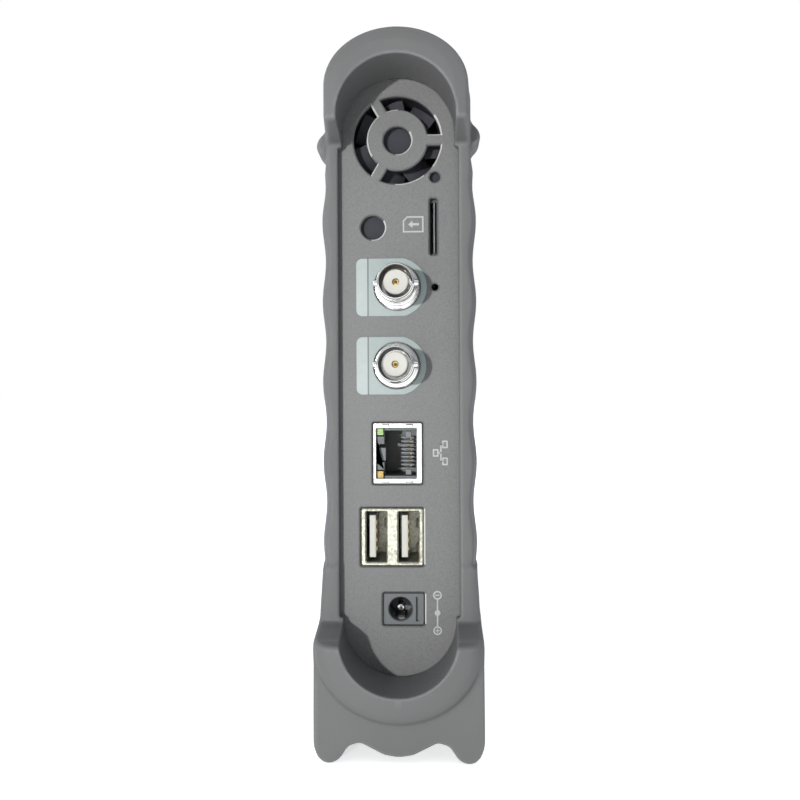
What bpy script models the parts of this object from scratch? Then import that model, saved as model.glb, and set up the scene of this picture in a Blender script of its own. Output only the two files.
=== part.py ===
"""A portable vector network analyzer in a rubber boot, standing on the boot's lower edge.

Metres, +Z up. The long side runs along X, the display faces -Y, the connector end faces +X
and the test-port end faces -X. The origin is under the middle of the boot, on the table.
"""

import math

import bmesh
import bpy
from mathutils import Matrix, Vector

# Overall sizes
overall_length = 0.264
overall_height = 0.180
body_thickness = 0.0396

# Fits
gap = 0.0003
slide_gap = 0.00035
overshoot = 0.002

# Rubber boot
boot_wall = 0.0028
boot_top_wall = 0.003
boot_arch_height = 0.014
hood_depth = 0.017
hood_rise = 0.0015
hood_taper = 0.0016
hood_edge = 0.0009
top_hood_height = 0.0235
hood_start = 0.021
hood_full = 0.010
bottom_hood_top = 0.0305
bottom_hood_foot = 0.0107
bottom_hood_shoulder = 0.0022
lip_height = 0.0028
lip_half_opening = 0.0155
lip_opening_margin = 0.0005
lip_taper = 0.0006
skirt_setback = 0.004
skirt_flare = 0.0011
skirt_height = 0.044
skirt_full_height = 0.027
foot_width = 0.0065
foot_bevel = 0.0015
valley_across = 0.0104
valley_half = 0.0012
valley_height = 0.005
belly_half = 0.0035
belly_height = 0.0018
window_margin_x = 0.026
window_bottom = 0.022
window_top_margin = 0.013
window_corner = 0.007
lug_height = 0.008
lug_length = 0.020
lug_rise = 0.0015
lug_below_top = 0.0235

# Rigid case
case_wall = 0.0018
case_bottom = 0.010
case_top_arch = 0.011
case_bottom_arch = 0.009
panel_thickness = 0.002
opening_half_width = 0.0145
opening_bottom = 0.0172
opening_below_top = 0.0065
boss_radius = 0.0032
boss_margin_x = 0.0167
boss_from_bottom = 0.017
boss_from_top = 0.0125
screw_head_radius = 0.0025
screw_head_height = 0.0018
screw_shank_radius = 0.0012
screw_length = 0.019

# Display
glass_left = -0.102
glass_right = 0.074
glass_bottom = 0.034
glass_top_margin = 0.022
glass_thickness = 0.0018
glass_corner = 0.003
gasket_width = 0.003
gasket_thickness = 0.0008
lcd_thickness = 0.005
lcd_inset = 0.005

# Keys
key_column_x = 0.090
key_width = 0.015
key_height = 0.010
key_corner = 0.0025
key_pitch = 0.019
key_count = 5
first_key_z = 0.068
key_proud = 0.0011
key_travel = 0.0006
key_flange = 0.0009
key_flange_thickness = 0.0009
power_key_z = 0.048
power_key_radius = 0.0055
board_thickness = 0.0016

# Inside
main_board_y = -0.0075
main_board_right = 0.090
edge_margin = 0.0045
battery_left = -0.046
battery_length = 0.132
battery_height = 0.047
battery_bottom = 0.031
battery_depth = 0.0182
battery_clearance = 0.0004
ledge_width = 0.0035
ledge_thickness = 0.0018
cover_screw_head_radius = 0.0015
cover_screw_shank_radius = 0.0008
cover_screw_spacing = 0.100
rf_module_length = 0.054
rf_module_rear = 0.010
rf_module_wall = 0.0015

# Kickstand
stand_width = 0.120
stand_length = 0.078
stand_plate = 0.002
stand_axis_z = 0.118
stand_barrel_radius = 0.0014
stand_pin_radius = 0.0006
stand_pin_length = 0.014
stand_lug_width = 0.0044
stand_lug_reach = 0.0018
stand_lug_offset = 0.045
stand_notch_width = 0.022
stand_notch_depth = 0.004

# Vents in the rear case
vent_count = 11
vent_pitch = 0.0062
vent_width = 0.0022
vent_height = 0.020
vent_from_top = 0.032

# Connector end, distances across (Y) and up (Z)
fan_from_top = 0.0229
fan_across = -0.0004
fan_size = 0.025
fan_depth = 0.008
fan_bore = 0.0119
fan_blade_reach = 0.0113
fan_hub_radius = 0.0055
fan_shaft_radius = 0.0011
fan_blades = 7
grille_hole = 0.00365
grille_hub = 0.00795
grille_reach = 0.0114
grille_spoke = 0.0028
pin_hole_across = 0.0095
pin_hole_z = 0.1474
pin_hole_radius = 0.0014
antenna_across = -0.0067
antenna_z = 0.1344
antenna_radius = 0.00315
card_across = 0.0091
card_z = 0.1345
card_slot_width = 0.00215
card_slot_height = 0.0148
bnc_across = (-0.0004, -0.0006)
bnc_heights = (0.1188, 0.0984)
bnc_barrel = 0.0048
bnc_bore = 0.00405
bnc_seat_bore = 0.0032
bnc_flange = 0.0060
bnc_reach = 0.013
bnc_contact = 0.0007
bnc_insulator_neck = 0.0023
bnc_tail = 0.010
bnc_lug_radius = 0.0009
bnc_lug_reach = 0.0057
bnc_lug_setback = 0.0045
label_left = -0.0111
label_height = 0.0150
label_arc = 0.0077
label_corner = 0.0016
label_sunk = 0.0005
label_thickness = 0.0004
led_hole_across = 0.0094
led_hole_radius = 0.0009
lan_across = -0.0005
lan_z = 0.0756
lan_width = 0.0129
lan_height = 0.0159
lan_depth = 0.021
lan_sheet = 0.0005
lan_face = 0.0008
lan_bar_left = 0.0009
lan_bar_right = 0.0016
lan_bar_ends = 0.00145
lan_latch_half = 0.00235
lan_latch_depth = 0.0022
lan_plug_half = 0.0059
lan_plug_depth = 0.0125
lan_led_width = 0.0018
lan_led_height = 0.0022
lan_led_offset = 0.0058
usb_across = -0.00205
usb_z = 0.0538
usb_width = 0.0163
usb_height = 0.0151
usb_depth = 0.0175
usb_port_width = 0.0053
usb_port_height = 0.0131
usb_port_depth = 0.015
usb_wall_left = 0.0014
usb_middle = 0.0031
usb_tongue = 0.0017
usb_tongue_height = 0.0111
usb_tongue_inset = 0.0008
usb_tongue_setback = 0.0015
dc_across = 0.00095
dc_z = 0.0350
dc_width = 0.0107
dc_height = 0.0084
dc_depth = 0.014
dc_hole_across = 0.0001
dc_hole_radius = 0.00305
dc_hole_depth = 0.010
dc_pin_radius = 0.001
io_board_y = 0.0066
io_board_left = 0.092
io_board_bottom = 0.0306
io_board_top = 0.125
cutout_gap = 0.0005

# Test-port end
port_heights = (0.125, 0.065)
port_thread_radius = 0.0079
port_bore = 0.0041
port_reach = 0.0135
port_nut_radius = 0.0100
port_nut_height = 0.0030
port_tail = 0.0042
port_tail_radius = 0.0060
port_contact = 0.0015
port_insulator_front = 0.004

# Places that follow from the sizes above
half_length = overall_length / 2
boot_half = body_thickness / 2
skirt_half = boot_half + skirt_flare
panel_x = half_length - hood_depth
lip_x = panel_x + lip_height
skirt_x = half_length - skirt_setback
body_top = overall_height - hood_rise
case_half = boot_half - boot_wall
case_top = body_top - boot_top_wall
case_end = panel_x - panel_thickness - gap
opening_top = overall_height - opening_below_top
inner_half = case_half - case_wall
glass_top = overall_height - glass_top_margin
fan_z = overall_height - fan_from_top
boss_x = case_end - boss_margin_x
boss_z = (case_bottom + boss_from_bottom, case_top - boss_from_top)
panel_inside = panel_x - panel_thickness
main_board_bottom = boss_z[0] + boss_radius + edge_margin
main_board_top = boss_z[1] - boss_radius - edge_margin
gasket_front = max(-inner_half, -case_half + glass_thickness) + gap
lcd_front = gasket_front + gasket_thickness + 2 * gap
battery_rear = inner_half - ledge_thickness - battery_clearance
stand_axis_y = case_half + gap + stand_barrel_radius


def clear_scene():
    for item in list(bpy.data.objects):
        bpy.data.objects.remove(item, do_unlink=True)


def material(name, colour, roughness, metallic=0.0):
    made = bpy.data.materials.new(name)
    made.use_nodes = True
    shader = made.node_tree.nodes["Principled BSDF"]
    shader.inputs["Base Color"].default_value = (*colour, 1)
    shader.inputs["Roughness"].default_value = roughness
    shader.inputs["Metallic"].default_value = metallic
    made.diffuse_color = (*colour, 1)
    return made


materials = {}


def make_materials():
    materials["rubber"] = material("rubber", (0.20, 0.20, 0.20), 0.75)
    materials["case"] = material("case", (0.16, 0.17, 0.18), 0.5)
    materials["panel"] = material("panel", (0.24, 0.24, 0.24), 0.55)
    materials["glass"] = material("glass", (0.01, 0.01, 0.012), 0.08)
    materials["key"] = material("key", (0.30, 0.31, 0.32), 0.6)
    materials["board"] = material("board", (0.02, 0.16, 0.07), 0.5)
    materials["metal"] = material("metal", (0.62, 0.62, 0.62), 0.35, 1)
    materials["chrome"] = material("chrome", (0.75, 0.75, 0.75), 0.15, 1)
    materials["gold"] = material("gold", (0.85, 0.62, 0.25), 0.25, 1)
    materials["white"] = material("white", (0.80, 0.80, 0.76), 0.5)
    materials["black"] = material("black", (0.03, 0.03, 0.03), 0.5)
    materials["label"] = material("label", (0.56, 0.64, 0.61), 0.5)
    materials["green"] = material("green", (0.15, 0.5, 0.2), 0.3)
    materials["yellow"] = material("yellow", (0.7, 0.6, 0.1), 0.3)
    materials["battery"] = material("battery", (0.06, 0.06, 0.07), 0.5)


def arc(centre, across, up, start, end, steps):
    """Points on an ellipse's arc, both ends included; angles in degrees."""
    points = []
    for step in range(steps + 1):
        angle = math.radians(start + (end - start) * step / steps)
        points.append((centre[0] + across * math.cos(angle), centre[1] + up * math.sin(angle)))
    return points


def circle(radius, segments=32, centre=(0, 0)):
    return arc(centre, radius, radius, 0, 360 * (segments - 1) / segments, segments - 1)


def rounded_rectangle(width, height, radius, steps=4, centre=(0, 0)):
    points = []
    for turn, (side, level) in enumerate(((1, 1), (-1, 1), (-1, -1), (1, -1))):
        corner = (
            centre[0] + side * (width / 2 - radius),
            centre[1] + level * (height / 2 - radius),
        )
        points += arc(corner, radius, radius, 90 * turn, 90 * turn + 90, steps)
    return points


def arched_section(half_width, bottom, top, bottom_arch, top_arch, steps=8):
    """A tall outline whose top and bottom are half ellipses."""
    lower = arc((0, bottom + bottom_arch), half_width, bottom_arch, 180, 360, 2 * steps)
    upper = arc((0, top - top_arch), half_width, top_arch, 0, 180, 2 * steps)
    return lower + upper


def on_x(outline, x):
    return [Vector((x, across, up)) for across, up in outline]


def on_y(outline, y):
    return [Vector((across, y, up)) for across, up in outline]


def mesh_object(name, build, surface):
    """A mesh object whose bmesh is filled in by build."""
    work = bmesh.new()
    build(work)
    bmesh.ops.recalc_face_normals(work, faces=work.faces)
    data = bpy.data.meshes.new(name)
    work.to_mesh(data)
    work.free()
    data.materials.append(materials[surface])
    data.shade_smooth()
    data.set_sharp_from_angle(angle=math.radians(35))
    made = bpy.data.objects.new(name, data)
    bpy.context.scene.collection.objects.link(made)
    return made


def loft(name, rings, surface, closed=False):
    """Skins rings of equal length. An open run is capped at both ends."""

    def build(work):
        rows = [[work.verts.new(point) for point in ring] for ring in rings]
        runs = list(zip(rows, rows[1:]))
        if closed:
            runs.append((rows[-1], rows[0]))
        else:
            work.faces.new(rows[0])
            work.faces.new(rows[-1])
        for first, second in runs:
            for index in range(len(first)):
                after = (index + 1) % len(first)
                work.faces.new((first[index], first[after], second[after], second[index]))

    return mesh_object(name, build, surface)


def block(name, low, high, surface):
    outline = [(low[1], low[2]), (high[1], low[2]), (high[1], high[2]), (low[1], high[2])]
    return loft(name, [on_x(outline, low[0]), on_x(outline, high[0])], surface)


def prism_x(name, outline, start, end, surface):
    return loft(name, [on_x(outline, start), on_x(outline, end)], surface)


def prism_y(name, outline, start, end, surface):
    return loft(name, [on_y(outline, start), on_y(outline, end)], surface)


def rod_x(name, centre, radius, start, end, surface, segments=24):
    return prism_x(name, circle(radius, segments, centre), start, end, surface)


def rod_y(name, centre, radius, start, end, surface, segments=24):
    return prism_y(name, circle(radius, segments, centre), start, end, surface)


def turned_x(name, profile, centre, direction, surface, closed, segments=32):
    """Turns (outward, radius) pairs about a line along X; outward starts at the end panel's face."""
    rings = []
    for outward, radius in profile:
        rings.append(on_x(circle(radius, segments, centre), direction * (panel_x + outward)))
    return loft(name, rings, surface, closed)


def turned_y(name, profile, centre, surface, segments=20):
    rings = [on_y(circle(radius, segments, centre), y) for y, radius in profile]
    return loft(name, rings, surface)


def combine(target, other, operation):
    """Adds a Boolean and turns the other object into a hidden helper."""
    other.hide_render = True
    other.display_type = "WIRE"
    modifier = target.modifiers.new(f"{operation.lower()} {other.name}", "BOOLEAN")
    modifier.operation = operation
    modifier.solver = "EXACT"
    modifier.object = other
    return target


def cut(target, *cutters):
    for cutter in cutters:
        combine(target, cutter, "DIFFERENCE")
    return target


def join(target, *others):
    for other in others:
        combine(target, other, "UNION")
    return target


def hood_section(half_width, bottom, top):
    return [(half_width, bottom)] + arc(
        (0, top - boot_arch_height), half_width, boot_arch_height, 0, 180, 20
    ) + [(-half_width, bottom)]


def top_hood(direction):
    bottom = overall_height - top_hood_height
    wide = boot_half - hood_edge / 2
    stations = (
        (lip_x - hood_start, wide - hood_edge, body_top - hood_rise),
        (lip_x - hood_full, wide, overall_height),
        (lip_x, wide - lip_taper, overall_height),
        (half_length - hood_edge, wide - hood_taper, overall_height),
        (half_length, wide - hood_taper - hood_edge, overall_height - hood_edge),
    )
    rings = [on_x(hood_section(half, bottom, top), direction * x) for x, half, top in stations]
    return loft(f"top_hood_{direction}", rings, "rubber")


def bottom_hood(direction):
    half = skirt_half - hood_edge / 2
    arch = bottom_hood_top - bottom_hood_foot - bottom_hood_shoulder
    stations = (
        (lip_x - 0.009, half, 0),
        (half_length - hood_edge, half - hood_edge / 3, 0),
        (half_length, half - hood_edge, hood_edge),
    )
    rings = []
    for x, wide, rise in stations:
        outline = arc(
            (0, bottom_hood_foot + rise + arch), wide, arch, 180, 360, 20
        ) + [(wide, bottom_hood_top), (-wide, bottom_hood_top)]
        rings.append(on_x(outline, direction * x))
    return loft(f"bottom_hood_{direction}", rings, "rubber")


def skirt_outline(inset):
    half = skirt_half - inset
    foot_inner = half - foot_width
    side = [
        (half - foot_bevel, inset),
        (half, inset + 2 * foot_bevel),
        (half, skirt_full_height),
        (boot_half - lip_taper, skirt_height - inset),
    ]
    under = [
        (foot_inner + foot_bevel, inset),
        (foot_inner, inset + foot_bevel),
        (valley_across + valley_half, valley_height),
        (valley_across - valley_half, valley_height),
        (belly_half, belly_height + inset),
    ]
    right = under[::-1] + side
    left = [(-across, up) for across, up in right[::-1]]
    return left + right


def boot_skirt():
    edge = 0.001
    rings = [
        on_x(skirt_outline(edge), -skirt_x),
        on_x(skirt_outline(0), -skirt_x + edge),
        on_x(skirt_outline(0), skirt_x - edge),
        on_x(skirt_outline(edge), skirt_x),
    ]
    return loft("boot_skirt", rings, "rubber")


def boot_lug(direction, side):
    centre = (direction * (lip_x - 0.003 - lug_length / 2), overall_height - lug_below_top)
    stations = (
        (boot_half - 0.0015, 0),
        (boot_half + lug_rise / 2, 0),
        (boot_half + lug_rise, 0.0008),
    )
    rings = []
    for depth, inset in stations:
        outline = rounded_rectangle(
            lug_length - 2 * inset, lug_height - 2 * inset, 0.001, 2, centre
        )
        rings.append(on_y(outline, side * depth))
    return loft(f"boot_lug_{direction}_{side}", rings, "rubber")


def boot_window(name, side):
    width = 2 * (half_length - window_margin_x)
    height = overall_height - window_top_margin - window_bottom
    centre = (0, window_bottom + height / 2)
    outline = rounded_rectangle(width, height, window_corner, 4, centre)
    return prism_y(name, outline, side * inner_half, side * (skirt_half + overshoot), "rubber")


def rubber_boot():
    outer = []
    for x, half in (
        (-lip_x, boot_half - lip_taper),
        (-lip_x + 0.006, boot_half),
        (lip_x - 0.006, boot_half),
        (lip_x, boot_half - lip_taper),
    ):
        outer.append(on_x(arched_section(half, 0.006, body_top, 0.006, boot_arch_height), x))
    boot = loft("rubber_boot", outer, "rubber")
    join(boot, boot_skirt())
    for direction in (-1, 1):
        join(boot, top_hood(direction), bottom_hood(direction))
        for side in (-1, 1):
            join(boot, boot_lug(direction, side))
    cavity = arched_section(
        case_half + gap,
        case_bottom - gap,
        case_top + gap,
        case_bottom_arch + gap,
        case_top_arch + gap,
    )
    opening = arched_section(
        opening_half_width,
        opening_bottom,
        opening_top,
        opening_half_width,
        opening_half_width,
    )
    reach = half_length + overshoot
    lips = block(
        "boot_lip_openings",
        (-reach, -lip_half_opening, bottom_hood_top + lip_opening_margin),
        (reach, lip_half_opening, overall_height - top_hood_height - lip_opening_margin),
        "rubber",
    )
    cut(
        boot,
        lips,
        prism_x("boot_cavity", cavity, -panel_x - gap, panel_x + gap, "rubber"),
        prism_x("boot_end_openings", opening, -reach, reach, "rubber"),
        boot_window("boot_front_window", -1),
        boot_window("boot_rear_window", 1),
    )


def case_section(inset):
    return arched_section(
        case_half - inset,
        case_bottom + inset,
        case_top - inset,
        case_bottom_arch - inset,
        case_top_arch - inset,
    )


def half_shell(name, side):
    shell = prism_x(name, case_section(0), -case_end, case_end, "case")
    reach = case_end + overshoot
    far = case_half + overshoot
    near = sorted((-side * far, side * gap / 2))
    return cut(
        shell,
        prism_x(f"{name}_inside", case_section(case_wall), -reach, reach, "case"),
        block(
            f"{name}_other_half",
            (-reach, near[0], -overshoot),
            (reach, near[1], overall_height),
            "case",
        ),
    )


def boss_centres():
    return [(x, z) for z in boss_z for x in (-boss_x, boss_x)]


def glass_outline(grow):
    width = glass_right - glass_left
    height = glass_top - glass_bottom
    centre = ((glass_left + glass_right) / 2, (glass_bottom + glass_top) / 2)
    corner = glass_corner + max(grow, 0)
    return rounded_rectangle(width + 2 * grow, height + 2 * grow, corner, 4, centre)


def key_places():
    return [first_key_z + index * key_pitch for index in range(key_count)]


def key_outline(z, grow):
    return rounded_rectangle(
        key_width + 2 * grow, key_height + 2 * grow, key_corner + grow, 4, (key_column_x, z)
    )


def front_case():
    shell = half_shell("front_case", -1)
    for index, centre in enumerate(boss_centres()):
        boss = rod_y(
            f"front_boss_{index}", centre, boss_radius, -inner_half - case_wall / 2, -gap / 2, "case"
        )
        hole = rod_y(
            f"front_boss_hole_{index}",
            centre,
            screw_shank_radius + gap,
            -inner_half + case_wall,
            overshoot,
            "case",
            16,
        )
        join(shell, boss)
        cut(shell, hole)
    outside = -case_half - overshoot
    inside = -inner_half + overshoot
    cut(shell, prism_y("glass_seat", glass_outline(gap), outside, inside, "case"))
    for index, z in enumerate(key_places()):
        outline = key_outline(z, slide_gap)
        cut(shell, prism_y(f"key_hole_{index}", outline, outside, inside, "case"))
    power = circle(power_key_radius + slide_gap, 32, (key_column_x, power_key_z))
    cut(shell, prism_y("power_key_hole", power, outside, inside, "case"))


def cover_size(shrink):
    width = battery_length + 2 * ledge_width + 2 * gap - 2 * shrink
    height = battery_height + 2 * ledge_width + 2 * gap - 2 * shrink
    centre = (battery_left + battery_length / 2, battery_bottom + battery_height / 2)
    return rounded_rectangle(width, height, 0.002, 3, centre)


def cover_screw_centres():
    middle = battery_left + battery_length / 2
    z = battery_bottom - ledge_width / 2
    return [(middle + side * cover_screw_spacing / 2, z) for side in (-1, 1)]


def vent_cutters():
    top = overall_height - vent_from_top
    cutters = []
    for index in range(vent_count):
        x = (index - (vent_count - 1) / 2) * vent_pitch
        outline = rounded_rectangle(
            vent_width, vent_height, vent_width / 2 - 0.0001, 3, (x, top)
        )
        near = inner_half - overshoot / 2
        cutters.append(
            prism_y(f"vent_{index}", outline, near, case_half + overshoot, "case")
        )
    return cutters


def stand_lug(side):
    x = side * stand_lug_offset
    half = stand_lug_width / 2
    outer = stand_axis_y + stand_barrel_radius
    lug = block(
        f"stand_lug_{side}",
        (x - half, inner_half + case_wall / 2, stand_axis_z - stand_lug_reach),
        (x + half, outer, stand_axis_z + stand_lug_reach),
        "case",
    )
    hole = rod_x(
        f"stand_lug_hole_{side}",
        (stand_axis_y, stand_axis_z),
        stand_pin_radius + gap,
        x - half - overshoot,
        x + half + overshoot,
        "case",
        12,
    )
    return lug, hole


def rear_case():
    shell = half_shell("rear_case", 1)
    for index, centre in enumerate(boss_centres()):
        boss = rod_y(
            f"rear_boss_{index}", centre, boss_radius, gap / 2, inner_half + case_wall / 2, "case"
        )
        hole = rod_y(
            f"rear_boss_hole_{index}",
            centre,
            screw_shank_radius + gap,
            -overshoot,
            case_half + overshoot,
            "case",
            16,
        )
        seat = rod_y(
            f"rear_boss_seat_{index}",
            centre,
            screw_head_radius + gap,
            case_half - screw_head_height - gap,
            case_half + overshoot,
            "case",
        )
        join(shell, boss)
        cut(shell, hole, seat)
    ledge = prism_y(
        "cover_ledge",
        cover_size(-ledge_width),
        inner_half - ledge_thickness,
        inner_half + case_wall / 2,
        "case",
    )
    join(shell, ledge)
    seat = prism_y(
        "cover_seat", cover_size(0), inner_half, case_half + overshoot, "case"
    )
    bay = prism_y(
        "battery_bay",
        cover_size(ledge_width),
        inner_half - 2 * ledge_thickness,
        case_half + overshoot,
        "case",
    )
    cut(shell, seat, bay)
    for index, centre in enumerate(cover_screw_centres()):
        radius = cover_screw_shank_radius + gap
        cut(
            shell,
            rod_y(
                f"ledge_hole_{index}",
                centre,
                radius,
                inner_half - 2 * ledge_thickness,
                inner_half + overshoot,
                "case",
                12,
            ),
        )
    for side in (-1, 1):
        lug, hole = stand_lug(side)
        join(shell, lug)
        cut(shell, hole)
    cut(shell, *vent_cutters())


def case_screws():
    for index, centre in enumerate(boss_centres()):
        head_bottom = case_half - screw_head_height
        turned_y(
            f"case_screw_{index + 1}",
            (
                (head_bottom - screw_length, screw_shank_radius),
                (head_bottom, screw_shank_radius),
                (head_bottom, screw_head_radius),
                (case_half - gap, screw_head_radius),
            ),
            centre,
            "metal",
        )


def battery_cover():
    cover = prism_y(
        "battery_cover", cover_size(gap), inner_half + gap, case_half, "case"
    )
    for index, centre in enumerate(cover_screw_centres()):
        cut(
            cover,
            rod_y(
                f"cover_screw_hole_{index}",
                centre,
                cover_screw_head_radius + gap,
                inner_half - overshoot,
                case_half + overshoot,
                "case",
                16,
            ),
        )
    for side, centre in zip(("left", "right"), cover_screw_centres()):
        turned_y(
            f"cover_screw_{side}",
            (
                (inner_half - ledge_thickness - gap, cover_screw_shank_radius),
                (inner_half + gap, cover_screw_shank_radius),
                (inner_half + gap, cover_screw_head_radius),
                (case_half - gap, cover_screw_head_radius),
            ),
            centre,
            "metal",
            16,
        )


def battery_pack():
    block(
        "battery_pack",
        (battery_left + gap, battery_rear - battery_depth, battery_bottom + gap),
        (
            battery_left + battery_length - gap,
            battery_rear,
            battery_bottom + battery_height - gap,
        ),
        "battery",
    )


def kickstand():
    top = stand_axis_z
    bottom = stand_axis_z - stand_length
    near = case_half + 2 * gap
    plate = rounded_rectangle(
        stand_width, stand_length, 0.005, 4, (0, (top + bottom) / 2)
    )
    stand = prism_y("kickstand", plate, near, near + stand_plate, "case")
    barrel = rod_x(
        "stand_barrel",
        (stand_axis_y, stand_axis_z),
        stand_barrel_radius,
        -stand_width / 2 + 0.003,
        stand_width / 2 - 0.003,
        "case",
        20,
    )
    join(stand, barrel)
    notch = rounded_rectangle(stand_notch_width, 2 * stand_notch_depth, 0.0015, 3, (0, bottom))
    cut(stand, prism_y("stand_finger_notch", notch, near - overshoot, near + 0.006, "case"))
    sweep = math.hypot(stand_lug_reach, stand_barrel_radius) + 3 * gap
    for side in (-1, 1):
        x = side * stand_lug_offset
        half = stand_lug_width / 2 + gap
        cut(
            stand,
            block(
                f"stand_lug_space_{side}",
                (x - half, case_half - overshoot, stand_axis_z - sweep),
                (x + half, case_half + 0.008, stand_axis_z + sweep),
                "case",
            ),
            rod_x(
                f"stand_bore_{side}",
                (stand_axis_y, stand_axis_z),
                stand_pin_radius + gap,
                x - stand_pin_length / 2 - gap,
                x + stand_pin_length / 2 + gap,
                "case",
                12,
            ),
        )


def stand_pins():
    for name, side in (("left", -1), ("right", 1)):
        x = side * stand_lug_offset
        rod_x(
            f"stand_pin_{name}",
            (stand_axis_y, stand_axis_z),
            stand_pin_radius,
            x - stand_pin_length / 2,
            x + stand_pin_length / 2,
            "metal",
            12,
        )


def display():
    front = -case_half
    prism_y("display_glass", glass_outline(0), front, front + glass_thickness, "glass")
    gasket = prism_y(
        "display_gasket",
        glass_outline(gasket_width / 2),
        gasket_front,
        gasket_front + gasket_thickness,
        "black",
    )
    window = glass_outline(-gasket_width / 2)
    cut(
        gasket,
        prism_y(
            "gasket_window", window, gasket_front - overshoot, gasket_front + overshoot, "black"
        ),
    )
    block(
        "lcd_module",
        (glass_left + lcd_inset, lcd_front, glass_bottom + lcd_inset),
        (glass_right - lcd_inset, lcd_front + lcd_thickness, glass_top - lcd_inset),
        "black",
    )


def key_depths():
    flange_front = -inner_half + gap
    return -case_half - key_proud, flange_front, flange_front + key_flange_thickness


def keys():
    front, step, back = key_depths()
    for index, z in enumerate(key_places()):
        cap = key_outline(z, 0)
        flange = key_outline(z, key_flange)
        rings = [on_y(cap, front), on_y(cap, step), on_y(flange, step), on_y(flange, back)]
        loft(f"function_key_{index + 1}", rings, "key")
    centre = (key_column_x, power_key_z)
    turned_y(
        "power_key",
        (
            (front, power_key_radius),
            (step, power_key_radius),
            (step, power_key_radius + key_flange),
            (back, power_key_radius + key_flange),
        ),
        centre,
        "key",
        32,
    )
    start = back + key_travel + 2 * gap
    low = power_key_z - power_key_radius - key_flange
    high = key_places()[-1] + key_height / 2 + 2 * key_flange
    half = key_width / 2 + 0.004
    block(
        "keypad_board",
        (key_column_x - half, start, low),
        (key_column_x + half, start + board_thickness, high),
        "board",
    )


def boards():
    block(
        "main_board",
        (-case_end + edge_margin, main_board_y, main_board_bottom),
        (main_board_right, main_board_y + board_thickness, main_board_top),
        "board",
    )
    block(
        "io_board",
        (io_board_left, io_board_y, io_board_bottom),
        (panel_inside - gap, io_board_y + board_thickness, io_board_top),
        "board",
    )


def rf_module():
    left = -case_end + edge_margin
    right = left + rf_module_length
    front = main_board_y + board_thickness + gap
    low = (left, front + board_thickness + gap, main_board_bottom)
    high = (right, rf_module_rear, main_board_top)
    wall = rf_module_wall
    tray = block("rf_shield", low, high, "metal")
    cut(
        tray,
        block(
            "rf_shield_inside",
            (low[0] + wall, low[1] - overshoot, low[2] + wall),
            (high[0] - wall, high[1] - wall, high[2] - wall),
            "metal",
        ),
    )
    block("rf_board", (left, front, low[2]), (right, front + board_thickness, high[2]), "board")


def label_outline(across, grow):
    """Straight edge on the left, an arc about the connector on the right."""
    half = label_height / 2 + grow
    radius = label_arc + grow
    start = math.degrees(math.asin(half / radius))
    right = arc((across, 0), radius, radius, -start, start, 10)
    left = label_left - grow
    corner = label_corner + grow
    upper = arc((left + corner, half - corner), corner, corner, 90, 180, 4)
    lower = arc((left + corner, corner - half), corner, corner, 180, 270, 4)
    return right + upper + lower


def raised(outline, z):
    return [(across, up + z) for across, up in outline]


def grille_cutters():
    start, end = panel_inside - overshoot, panel_x + overshoot
    centre = (fan_across, fan_z)
    ring = loft(
        "grille_ring",
        [
            on_x(circle(grille_reach, 48, centre), start),
            on_x(circle(grille_reach, 48, centre), end),
            on_x(circle(grille_hub, 48, centre), end),
            on_x(circle(grille_hub, 48, centre), start),
        ],
        "panel",
        closed=True,
    )
    for spoke in range(3):
        bar = block(
            f"grille_spoke_{spoke}",
            (start - overshoot, 0, -grille_spoke / 2),
            (end + overshoot, grille_reach + overshoot, grille_spoke / 2),
            "panel",
        )
        turn = Matrix.Rotation(math.radians(120 * spoke), 4, "X")
        bar.data.transform(Matrix.Translation((0, fan_across, fan_z)) @ turn)
        cut(ring, bar)
    return ring, rod_x("grille_hole", centre, grille_hole, start, end, "panel", 32)


def window_x(name, across, z, width, height, corner=0.0006):
    outline = rounded_rectangle(width, height, corner, 2, (across, z))
    return prism_x(name, outline, panel_inside - overshoot, panel_x + overshoot, "panel")


def hole_x(name, across, z, radius, segments=24):
    return rod_x(
        name, (across, z), radius, panel_inside - overshoot, panel_x + overshoot, "panel", segments
    )


def connector_panel():
    plate = prism_x("connector_panel", case_section(0), panel_inside, panel_x, "panel")
    room = 2 * cutout_gap
    cut(plate, *grille_cutters())
    cut(
        plate,
        hole_x("pin_hole", pin_hole_across, pin_hole_z, pin_hole_radius, 16),
        hole_x("antenna_hole", antenna_across, antenna_z, antenna_radius),
        hole_x("led_hole", led_hole_across, bnc_heights[0], led_hole_radius, 12),
        window_x("card_slot", card_across, card_z, card_slot_width, card_slot_height),
        window_x("lan_cutout", lan_across, lan_z, lan_width + room, lan_height + room),
        window_x("usb_cutout", usb_across, usb_z, usb_width + room, usb_height + room),
        window_x("dc_cutout", dc_across, dc_z, dc_width + room, dc_height + room),
    )
    for index, (across, z) in enumerate(zip(bnc_across, bnc_heights)):
        sunk = prism_x(
            f"label_seat_{index}",
            raised(label_outline(across, gap), z),
            panel_x - label_sunk,
            panel_x + overshoot,
            "panel",
        )
        cut(plate, sunk, hole_x(f"bnc_hole_{index}", across, z, bnc_barrel + gap, 32))


def bnc_labels():
    start = panel_x - label_sunk + gap
    for index, (across, z) in enumerate(zip(bnc_across, bnc_heights)):
        plate = prism_x(
            f"bnc_{index + 1}_label",
            raised(label_outline(across, 0), z),
            start,
            start + label_thickness,
            "label",
        )
        cut(plate, hole_x(f"label_hole_{index}", across, z, bnc_flange + gap, 32))
        if index == 0 and led_hole_across < across + label_arc:
            cut(plate, hole_x("label_led_hole", led_hole_across, z, led_hole_radius, 12))


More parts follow.
